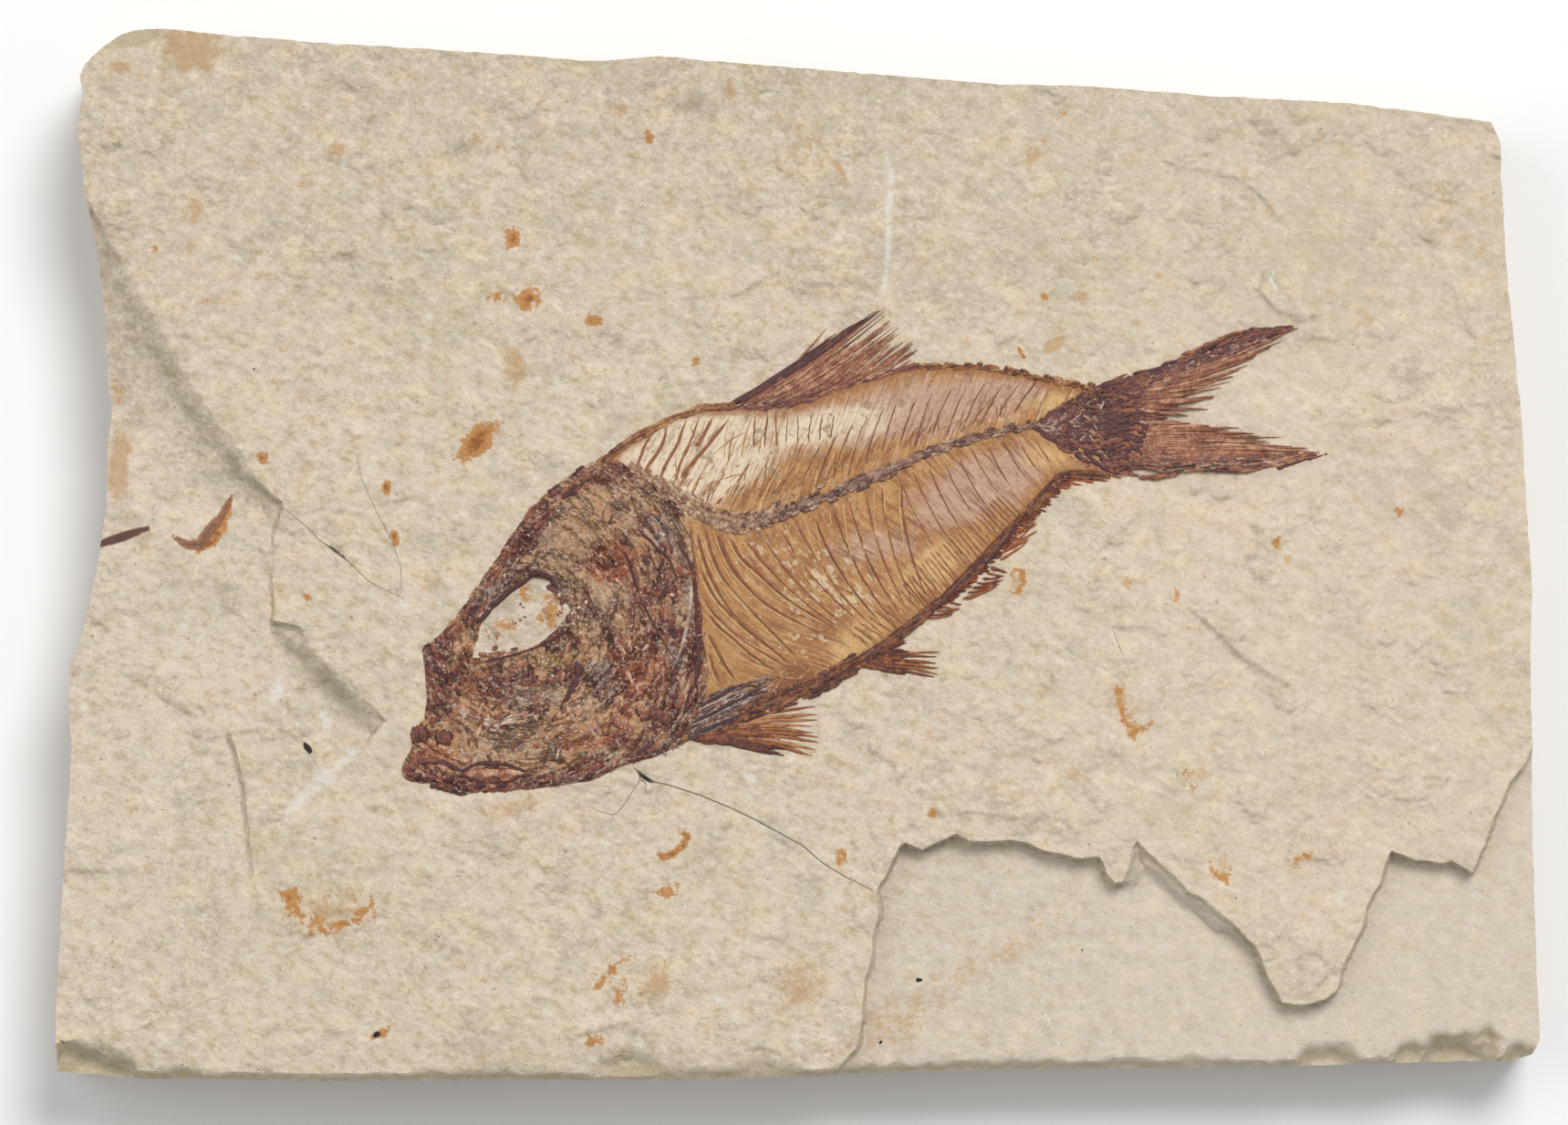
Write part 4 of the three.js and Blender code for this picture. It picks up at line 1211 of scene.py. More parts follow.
@dataclass(frozen=True)
class StoneFinish:
    """Dry split limestone: a pale ground, fine grain, stains, chalky bruises and thin cracks, with
    painted shade under ledges and on banks and one painted highlight.
    """

    ground: tuple = linear(226, 209, 186)
    cool: tuple = linear(210, 196, 168)
    warm: tuple = linear(226, 205, 182)
    bed: tuple = linear(214, 201, 186)
    pale_bed: tuple = linear(226, 211, 193)
    grit: tuple = linear(188, 167, 132)
    straw: tuple = linear(208, 172, 116)
    ash: tuple = linear(199, 190, 174)
    sunny: tuple = linear(234, 215, 184)
    cream: tuple = linear(242, 229, 210)
    rust: tuple = linear(196, 136, 70)
    rust_core: tuple = linear(146, 80, 32)
    ochre: tuple = linear(198, 158, 106)
    umber: tuple = linear(150, 98, 66)
    umber_core: tuple = linear(92, 70, 66)
    rubble: tuple = linear(190, 174, 142)
    chalk_and_highlight: tuple = linear(238, 232, 222)
    # Grey of the grey patches, also laid on as painted shade.
    soot_and_shade: tuple = linear(162, 149, 127)
    black: tuple = linear(40, 34, 30)
    crack: tuple = linear(104, 88, 68)

    def material(self) -> bpy.types.Material:
        """Builds the material for the slab."""
        make = Recipe("limestone")
        calm, broken = make.value("bay").step(-0.2, 0.5), make.value("broken").step(0.1, 0.6)
        lower, quiet = make.value("left").step(-0.2, 0.8), make.value("quiet")
        # Darker towards the top, towards the right and inside the eye's ring.
        top_right_eye_darkening = make.value("upper") * 0.14 + quiet * 0.09 + make.value("socket") * 0.24
        busy = 1.0 - calm * 0.2 - quiet * 0.35
        broad, fine = make.noise(14, 5), make.noise(0.36, 4, 0.72)
        mottle = make.noise(0.8, 8, 0.74, make.combed(-20, 1.4))
        patch = make.noise(7.0, 6, 0.68, make.combed(-28, 1.8))
        shade, speck = make.noise(2.2, 6, 0.7), make.noise(0.7, 4, 0.7)
        grains = make.noise(0.5, 2, 0.5)
        leaf, riser = make.treads(make.noise(7.5, 7, 0.58), 26, 0.3)
        split = make.noise(5.0, 3).step(0.5, 0.66) * (1.0 - calm * 0.85)
        ragged, frayed = (make.noise(1.2, 7, 0.75) - 0.5) * 3.4, (fine - 0.5) * 2.4
        wall, gape = make.value("wall"), make.value("gape")
        band = make.noise(1.3, 4, 0.6, make.bedded(18))
        seam = make.noise(0.45, 5, 0.66, make.bedded(14))
        rust, ochre, umber, chalk_and_highlight, soot_and_shade = (
            make.value(stain) + ragged * coarse + frayed * small
            for stain, coarse, small in (
                ("rust", 0.9, 0.55), ("ochre", 0.9, 0.5), ("umber", 0.25, 0.15),
                ("chalk_and_highlight", 0.7, 0.5), ("soot_and_shade", 0.4, 0.35),
            )
        )
        dots = make.value("dots") + frayed * 0.1
        crossed = abs(make.value("crack") + (fine - 0.5) * 0.1)
        crack = crossed.step(gape, gape * 0.5)
        colour = make.layers(
            self.ground,
            (broad.step(0.36, 0.5) * -0.5 + 0.5, self.cool),
            (broad.step(0.5, 0.66) * 0.6, self.warm),
            (lower * 0.5, self.pale_bed),
            (top_right_eye_darkening, self.soot_and_shade),
            (calm * 0.75, self.bed),
            (patch.step(0.54, 0.72) * (1.0 - calm) * 0.4, self.soot_and_shade),
            (shade.step(0.5, 0.66) * busy * 0.5, self.ash),
            (shade.step(0.5, 0.34) * busy * 0.7, self.sunny),
            (mottle.step(0.5, 0.64) * busy * 0.65, self.grit),
            (mottle.step(0.5, 0.34) * busy * 0.65, self.cream),
            (fine.step(0.53, 0.7) * (busy * 0.3 + 0.15), self.grit),
            (fine.step(0.47, 0.3) * (busy * 0.3 + 0.15), self.cream),
            (speck.step(0.6, 0.7) * busy * 0.55, self.straw),
            # painted shade on the risers of the small treads
            (riser * split * 0.2, self.soot_and_shade),
            (grains.step(0.71, 0.77) * 0.5, self.crack),
            (grains.step(0.29, 0.23) * 0.7, self.chalk_and_highlight),
            (wall * band.step(0.46, 0.58) * 0.6, self.rubble),
            (wall * seam.step(0.53, 0.64) * 0.32, self.crack),
            (wall * seam.step(0.46, 0.36) * 0.5, self.cream),
            (broken * (mottle.step(0.35, 0.6) * 0.45 + 0.35), self.rubble),
            (soot_and_shade.step(0.05, 0.95) * 0.7, self.soot_and_shade),
            (ochre.step(0.05, 0.9) * 0.65, self.ochre),
            (rust.step(0.05, 0.3) * 0.9, self.rust),
            (rust.step(0.6, 1.1) * 0.8, self.rust_core),
            (umber.step(0.0, 0.25) * 0.9, self.umber),
            (umber.step(0.4, 0.8) * 0.9, self.umber_core),
            # chalky marks, one of them a painted highlight on a lip
            (chalk_and_highlight.step(0.1, 0.8) * 0.7, self.chalk_and_highlight),
            (crossed.step(gape * 3.5, gape) * 0.3, self.cream),
            (crack * 0.7, self.crack),
            # black where a crack gapes wide: painted shade in the gap
            (crack * gape.step(0.09, 0.2), self.black),
            (dots.step(0.0, 0.35), self.black),
        )
        relief = leaf * 0.5 * split + mottle * 0.24 * busy + fine * 0.08
        return make.finish(colour, 0.92, relief + wall * seam * 0.6 - crack * 0.15)


@dataclass(frozen=True)
class FilmFinish:
    """The trunk's skin film: gold over the belly, pale at the nape, mauve over the rear."""

    gold: tuple = linear(186, 135, 80)
    deep: tuple = linear(156, 100, 56)
    pale: tuple = linear(230, 212, 186)
    mauve: tuple = linear(196, 158, 138)
    straw: tuple = linear(212, 172, 114)
    brown: tuple = linear(124, 78, 52)
    cream: tuple = linear(226, 206, 172)
    rim: tuple = linear(138, 86, 52)
    bruise: tuple = linear(154, 122, 84)

    def material(self) -> bpy.types.Material:
        """Builds the material for the trunk."""
        make = Recipe("skin_film")
        comb = make.comb()
        blotch, fine = make.noise(1.6, 6, 0.7), make.noise(0.34, 4, 0.7)
        hair = make.noise(0.42, 3, 0.6, comb)
        thread = make.noise(0.2, 2, 0.5, comb)
        ragged = (make.noise(2.0, 6, 0.7) - 0.5) * 1.8
        upper = make.value("side").step(-0.2, 0.3)
        spots = (make.noise(1.0, 2, 0.5) + ragged * 0.05).step(0.63, 0.7)
        blots = make.noise(0.42, 3, 0.5, make.combed(-50, 1.6))
        dusk, edge = make.value("dusk"), make.value("edge")
        flecked = make.value("fleck") + ragged * 0.5 + (blots - 0.5) * 5.0
        colour = make.layers(
            self.gold,
            (blotch.step(0.4, 0.66) * 0.8, self.deep),
            (hair.step(0.5, 0.3) * 0.6, self.straw),
            ((make.value("mauve") + ragged * 0.7).step(-0.05, 0.5) * 0.88, self.mauve),
            ((dusk + ragged * 0.6).step(-0.05, 0.5) * 0.85, self.deep),
            ((dusk + ragged * 0.8).step(0.2, 0.8) * 0.7, self.brown),
            ((make.value("pale") + ragged * 0.6).step(-0.05, 0.4) * 0.92, self.pale),
            ((make.value("straw") + ragged * 0.5).step(0.0, 0.5) * 0.8, self.straw),
            (hair.step(0.5, 0.7) * (0.8 - upper * 0.15), self.brown),
            (thread.step(0.52, 0.74) * 0.5, self.deep),
            (thread.step(0.45, 0.28) * (0.3 + upper * 0.15), self.cream),
            (flecked.step(0.6, 1.1) * 0.6, self.cream),
            (spots * upper * 0.7, self.bruise),
            ((edge + ragged * 0.4).step(1.0, 0.3) * (upper * 0.35 + 0.35), self.deep),
            (fine.step(0.53, 0.72) * 0.62, self.brown),
            (fine.step(0.44, 0.26) * 0.5, self.cream),
            ((edge + ragged * 0.1).step(0.45, 0.08) * 0.85, self.rim),
        )
        relief = hair * 0.1 + thread * 0.04 + fine * 0.09 + blotch * 0.12
        return make.finish(colour, 0.6, relief)


@dataclass(frozen=True)
class CrustFinish:
    """The skull: crushed bone in tan, red-brown and purple, with pale and dark grains and painted
    glints.
    """

    tan: tuple = linear(218, 178, 138)
    brown: tuple = linear(160, 100, 66)
    red: tuple = linear(186, 94, 60)
    purple: tuple = linear(134, 70, 64)
    slate: tuple = linear(174, 154, 150)
    pale: tuple = linear(248, 218, 186)
    dark: tuple = linear(76, 42, 38)
    amber: tuple = linear(222, 162, 112)
    gilt: tuple = linear(196, 150, 88)
    glint: tuple = linear(244, 228, 216)

    def material(self) -> bpy.types.Material:
        """Builds the material for the skull."""
        make = Recipe("skull_crust")
        comb = make.comb()
        blotch, vein = make.noise(1.9, 7, 0.72), make.noise(1.4, 6, 0.66, comb)
        fold, strand = make.noise(0.8, 5, 0.66, comb), make.noise(0.34, 4, 0.66, comb)
        fine, grit = make.noise(0.36, 4, 0.75), make.noise(0.2, 3, 0.7)
        plate = make.shards(1.7, make.warped(1.4, 2.0))
        ragged = (make.noise(1.6, 6, 0.72) - 0.5) * 2.4 + (fold - 0.5) * 1.6
        crease = abs(vein - 0.5).step(0.025, 0.0)
        calm = (make.value("tan") + ragged * 0.6).step(0.0, 0.4)
        colour = make.layers(
            self.tan,
            (blotch.step(0.47, 0.57) * 0.85, self.brown),
            (plate.step(0.57, 0.6) * 0.7, self.purple),
            (plate.step(0.42, 0.39) * 0.7, self.amber),
            (calm * 0.7, self.tan),
            ((make.value("red") + ragged * 0.5).step(-0.1, 0.25) * 0.88, self.red),
            ((make.value("purple") + ragged * 0.5).step(-0.1, 0.25) * 0.85, self.purple),
            ((make.value("gilt") + ragged * 0.4).step(0.0, 0.3) * 0.9, self.gilt),
            ((make.value("slate") + ragged * 0.9).step(0.25, 0.65) * 0.6, self.slate),
            (plate.step(0.6, 0.64) * 0.4, self.dark),
            (plate.step(0.42, 0.38) * 0.42, self.amber),
            (fold.step(0.54, 0.6) * (0.6 - calm * 0.3), self.dark),
            (fold.step(0.45, 0.38) * 0.45, self.amber),
            (strand.step(0.55, 0.63) * (0.4 - calm * 0.15), self.purple),
            (strand.step(0.44, 0.36) * 0.5, self.pale),
            (fine.step(0.54, 0.62) * (0.5 - calm * 0.2), self.dark),
            (fine.step(0.46, 0.38) * 0.55, self.pale),
            # painted glints: tiny bright specks standing for highlights
            (grit.step(0.58, 0.64) * 0.85, self.glint),
            (crease * 0.6, self.dark),
        )
        relief = fine * 0.3 + blotch * 0.7 + fold * 0.9 + strand * 0.3 + grit * 0.08
        return make.finish(colour, 0.36, relief - crease * 0.2 + plate * 0.3)


@dataclass(frozen=True)
class BoneFinish:
    """Bones and rays, from dark to pale by each strand's own tone, with painted shade low on their
    flanks.

    Attributes:
        name: The material's name.
        dark: Colour of a tone of 0.
        middle: Colour of a tone of 0.5.
        pale: Colour of a tone of 1.
        fleck: Colour of scattered grains.
    """

    name: str
    dark: tuple
    middle: tuple
    pale: tuple
    fleck: tuple = linear(168, 156, 152)

    def material(self) -> bpy.types.Material:
        """Builds the material for one set of strands."""
        make = Recipe(self.name)
        patch, grit = make.noise(0.9, 6, 0.7), make.noise(0.26, 4, 0.7)
        low = make.value("crown").step(0.6, 0.0)
        tone = make.value("tone") + (patch - 0.5) * 1.6 + (grit - 0.5) * 1.3
        colour = make.layers(
            self.dark,
            (tone.step(0.0, 0.5), self.middle),
            (tone.step(0.5, 1.1), self.pale),
            # painted shade low on each strand's flanks
            (low * 0.4, self.dark),
            (make.noise(0.3, 3, 0.7).step(0.64, 0.74) * 0.7, self.fleck),
        )
        return make.finish(colour, 0.5, grit * 0.12 + patch * 0.1)


Finish = StoneFinish | FilmFinish | CrustFinish | BoneFinish


@dataclass
class Piece:
    """Something that is built for the scene and stands for a node of the part.

    Attributes:
        name: The piece's name.
        node: The node that it stands for.
        slot: The record's slot for its finish. Not used.
        stone: The face that it belongs to.
        look: Its finish.
    """

    name: str
    node: str
    slot: Slot
    stone: Stone
    look: Finish

    def shape(self) -> bpy.types.Object:
        """Makes the piece's object."""
        raise NotImplementedError

    def build(self) -> bpy.types.Object:
        """Makes the piece, dresses it and fixes it to the part.

        Returns:
            The finished object.
        """
        thing = self.shape()
        thing.data.materials.append(self.look.material())
        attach(thing, "root")
        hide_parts(self.node)
        triangles = len(thing.data.loops) - 2 * len(thing.data.polygons)
        log.info("%s: %d triangles", self.name, triangles)
        return thing


@dataclass
class Slab(Piece):
    """The stone: a face of ledges and flakes, and sides of broken bedding down to a flat back.

    The face is a Coons patch between the four rims, P = (1 - v) B(u) + v T(u) + (1 - u) L(v)
    + u R(v) - corners, with the points nearest to each ledge pulled onto it.

    Attributes:
        columns: Points along the face.
        rows: Points across the face.
        side_levels: Heights of the side's rings, as shares of the rim's.
        rim_wear: How far the rim is worn inwards, in millimetres.
        side_wear: Least wear of the sides, and what their bedding adds to it, in millimetres.
        foot_wear: More wear at the foot, in millimetres.
        pull: How near a ledge a point is pulled onto it, in steps of the net.
        mouth_depth: Depth where a crack gapes, in millimetres.
        crease: Degrees above which an edge is shaded sharp.
    """

    # Distance from a crack and half its width, in millimetres, where none is near.
    FAR, HAIRLINE = 9.0, 0.001

    columns: int = 352
    rows: int = 248
    side_levels: tuple[float, ...] = (0.96, 0.87, 0.8, 0.66, 0.6, 0.44, 0.37, 0.2, 0.12, 0.0)
    rim_wear: float = 0.16
    side_wear: tuple[float, float] = (0.12, 0.34)
    foot_wear: float = 0.4
    pull: float = 0.52
    mouth_depth: float = 0.35
    crease: float = 38.0

    def _rims(self) -> tuple[np.ndarray, ...]:
        """The four rims, each resampled and worn inwards."""
        counts = (self.columns, self.columns, self.rows, self.rows)
        rims = (BOTTOM_RIM, TOP_RIM, LEFT_RIM, RIGHT_RIM)
        inward = ((0, 1), (0, -1), (1, 0), (-1, 0))
        grain = Grain(31)
        worn = []
        for k, (rim, count, way) in enumerate(zip(rims, counts, inward)):
            line = resampled(place(rim), count)
            t = np.linspace(0, 1, count)
            bites = grain.at(t * count * 0.33, np.full(count, 9.0 * k), 1.6, 3)
            wear = self.rim_wear * np.abs(bites)
            fade = smooth(np.minimum(t, 1 - t), 0, 0.02)
            worn.append(line + (wear * fade)[:, None] * np.array(way))
        return tuple(worn)

    def _patch(self) -> tuple[np.ndarray, np.ndarray]:
        """The face's places before any is pulled onto a ledge."""
        bottom, top, left, right = self._rims()
        u = np.linspace(0, 1, self.columns)[None, :, None]
        v = np.linspace(0, 1, self.rows)[:, None, None]
        lengthwise = (1 - v) * bottom[None] + v * top[None]
        between_rims = lengthwise + (1 - u) * left[:, None] + u * right[:, None]
        low_corners = (1 - u) * (1 - v) * bottom[0] + u * (1 - v) * bottom[-1]
        patch = between_rims - (low_corners + (1 - u) * v * top[0] + u * v * top[-1])
        return patch[..., 0], patch[..., 1]

    def _pulled(self, x: np.ndarray, y: np.ndarray) -> tuple[np.ndarray, np.ndarray]:
        """Moves the points within half a step of a ledge onto it, down the distance's slope."""
        reach = self.pull * SLAB_LENGTH / self.columns
        inner = np.zeros(x.shape, bool)
        inner[1:-1, 1:-1] = True
        for ledge in self.stone.ledges():
            near = inner & (np.abs(ledge.depth(x, y)) < reach)
            px, py = x[near], y[near]
            here, nudge = ledge.depth(px, py), 0.02
            slope_x = (ledge.depth(px + nudge, py) - here) / nudge
            slope_y = (ledge.depth(px, py + nudge) - here) / nudge
            steep = np.maximum(slope_x**2 + slope_y**2, 0.4)
            x[near] = px - here * slope_x / steep
            y[near] = py - here * slope_y / steep
        return x, y

    def _sides(self, rim: np.ndarray) -> list[np.ndarray]:
        """Rings of broken bedding: each level steps in and out along the rim."""
        grain = Grain(41)
        step = np.roll(rim, -1, axis=0) - np.roll(rim, 1, axis=0)
        inwards = leftwards(step)
        inwards /= np.maximum(np.linalg.norm(inwards, axis=1, keepdims=True), TINY)
        rings = []
        for k, level in enumerate(self.side_levels):
            bed = grain.at(rim[:, 0], rim[:, 1] + 60.0 * (k // 2), 5.0, 4)
            wear = self.side_wear[0] + self.side_wear[1] * np.abs(bed)
            wear = wear + (0.0 if level else self.foot_wear)
            ring = rim.copy()
            ring[:, :2] = rim[:, :2] + inwards * wear[:, None]
            ring[:, 2] = rim[:, 2] * level + (0.12 * bed if level else 0.0)
            rings.append(ring)
        return rings

    def _marks(self, x: np.ndarray, y: np.ndarray) -> dict[str, np.ndarray]:
        """The values that the stone's finish reads: stains, planes, painted shade and cracks."""
        marks = {name: strongest(stains, x, y) for name, stains in STAINS_AND_PAINTED_LIGHT.items()}
        marks["bay"] = self.stone.bay.depth(x, y)
        marks["left"] = self.stone.left.depth(x, y)
        marks["broken"] = self.stone.broken(x, y)
        marks["quiet"] = smooth(x, 0, 40)
        marks["upper"] = smooth(y, 8, 26)
        marks["socket"] = smooth(Region(ORBIT).depth(x, y), -0.3, 0.5)
        # Painted shade, laid in with the grey patches: along the bay's ledges except where they
        # face the light, on the banks under the left side's ledge and at the feet of the leaves'
        # free edges.
        toward_light = self.stone.bay.depth(x + 0.18, y + 0.37) - marks["bay"]
        shade = 1.0 - np.abs(marks["bay"] - 0.15) / 0.35 - 0.8 * smooth(toward_light, -0.2, 0.12)
        bank = np.where(marks["left"] > 0, strongest(BANKS, x, y), -1.0)
        marks["soot_and_shade"] = np.maximum.reduce([marks["soot_and_shade"], shade, bank, self.stone.lip_foot_shade(x, y)])
        away, gape = np.full(x.shape, self.FAR), np.full(x.shape, self.HAIRLINE)
        for seam in CRACKS:
            side, along = seam.side(x, y)
            closer = np.abs(side) < np.abs(away)
            away = np.where(closer, side, away)
            width = seam.width * (0.35 + 0.65 * np.sin(math.pi * (0.12 + 0.76 * along)))
            gape = np.where(closer, width, gape)
        mouth = smooth(strongest(CRACK_MOUTHS, x, y), -0.6, 0.4)
        marks["crack"] = np.clip(away, -3, 3)
        marks["gape"] = gape * (1 + 2.2 * mouth)
        return marks

    def shape(self) -> bpy.types.Object:
        """Makes the stone, with its stains and painted shade kept to the face and the first ring
        under it.
        """
        x, y = self._pulled(*self._patch())
        mouths = smooth(strongest(CRACK_MOUTHS, x, y), -0.2, 0.5)
        top = np.stack([x, y, self.stone.height(x, y) - self.mouth_depth * mouths], -1)
        rim = top.reshape(-1, 3)[rim_of(self.rows, self.columns)]
        points, faces, values = closed_sheet(top, self._sides(rim), self._marks(x, y), split=True)
        under_face = np.arange(len(points)) - self.rows * self.columns
        for stain in (*STAINS_AND_PAINTED_LIGHT, "broken"):
            values[stain] = np.where(under_face < len(rim), values[stain], -1.0)
        values["wall"] = np.where(under_face < 0, 0.0, 1.0)
        shell = Shell()
        shell.add(points, faces, values)
        return shell.object(self.name, self.crease)


@dataclass
class Trunk(Piece):
    """The skin film over the trunk: a ruled patch between the belly and the back.

    P(u, v) = belly(u) + v (back(u) - belly(u)), raised over the stone by a film whose thickness
    falls to nothing at its edges.
    """

    # Heights and strays in millimetres.
    EDGE_STRAY = 0.07
    COLUMN_RISE, COLUMN_SPREAD = 0.07, 1.2
    RIPPLE, SWELL, GRIT = 0.03, 0.03, 0.025

    columns: int = 420
    rows: int = 200
    pale: tuple[Spot, ...] = spots(
        (768, 508, 120, 56, 26, 1), (725, 490, 60, 34, 40, 1), (900, 468, 110, 28, 10, 0.7),
    )
    mauve: tuple[Spot, ...] = spots(
        (1010, 448, 170, 36, 8, 1), (1070, 535, 100, 40, 25, 1), (960, 600, 70, 24, 10, 0.5),
        (1100, 430, 70, 22, 0, 1),
    )
    straw: tuple[Spot, ...] = spots(
        (1020, 622, 62, 24, 38, 1), (940, 700, 50, 24, 36, 0.9), (1152, 440, 34, 16, 12, 0.8),
        (1145, 500, 30, 18, 0, 0.8),
    )
    fleck: tuple[Spot, ...] = spots(
        (890, 640, 60, 36, 30, 1), (930, 655, 54, 32, 38, 0.9), (850, 610, 60, 24, 0, 0.6),
        (890, 700, 40, 24, 0, 0.6),
    )
    dusk: tuple[Spot, ...] = spots(
        (826, 768, 76, 17, 22, 1), (872, 744, 34, 24, 20, 0.9), (905, 690, 36, 20, 40, 0.5),
        (890, 612, 60, 14, 14, 0.4),
    )

    def _comb(self, x: np.ndarray, y: np.ndarray, side: np.ndarray) -> np.ndarray:
        """Places along and across the ribs below the backbone and the spines above it.

        Above, the threads lean by 0.42 of their height. Below, they lean by 0.18 d + 0.064 d^2
        under the ribs and by 0.75 d further back, with d the depth under the backbone.
        """
        line = place(BACKBONE)
        below = np.interp(x, line[:, 0], line[:, 1]) - y
        rear = smooth(x, *place(RIBS_TO_SPINES)[:, 0])
        depth = np.maximum(below, 0)
        lean = (0.18 * depth + 0.064 * depth**2) * (1 - rear) + 0.75 * depth * rear
        across = x - np.where(side > 0, -0.42 * np.minimum(below, 0), lean)
        return np.stack([across, below * 0.12, np.zeros_like(x)], -1) * MM

    def shape(self) -> bpy.types.Object:
        """Makes the film, with the values that its finish reads."""
        belly, back = curved(place(BELLY), self.columns), curved(place(BACK), self.columns)
        v = np.linspace(0, 1, self.rows)[:, None, None]
        t = np.linspace(0, 60, self.columns)
        grain = Grain(51)
        ragged = self.EDGE_STRAY * grain.at(t, t * 0, 0.7, 3)[:, None]
        across = back - belly
        across /= np.linalg.norm(across, axis=1, keepdims=True)
        belly, back = belly + ragged * across, back + ragged[::-1] * across
        plan = belly[None] + v * (back - belly)[None]
        x, y = plan[..., 0], plan[..., 1]
        edge = np.minimum(v[..., 0], 1 - v[..., 0]) * np.linalg.norm(back - belly, axis=1)[None]
        side, _ = Seam(BACKBONE, 0).side(x, y)
        comb = self._comb(x, y, side)
        ripple = grain.at(comb[..., 0] / MM, comb[..., 1] / MM, 0.6, 2)
        column = self.COLUMN_RISE * np.exp(-((side / self.COLUMN_SPREAD) ** 2))
        film = FILM_RISE * smooth(edge, -0.05, 0.35) + self.SWELL * grain.at(x, y, 2.5, 3)
        film += column + self.RIPPLE * ripple + self.GRIT * grain.at(x, y, 0.6, 2)
        top = np.stack([x, y, self.stone.bed(x, y) + film], -1)
        rim = top.reshape(-1, 3)[rim_of(self.rows, self.columns)].copy()
        rim[:, 2] = FOSSIL_PLANE - BURIED
        values = {"side": side, "edge": edge, "comb": comb}
        for name in ("pale", "mauve", "straw", "fleck", "dusk"):
            values[name] = strongest(getattr(self, name), x, y)
        shell = Shell()
        shell.add(*closed_sheet(top, [rim], values))
        return shell.object(self.name)


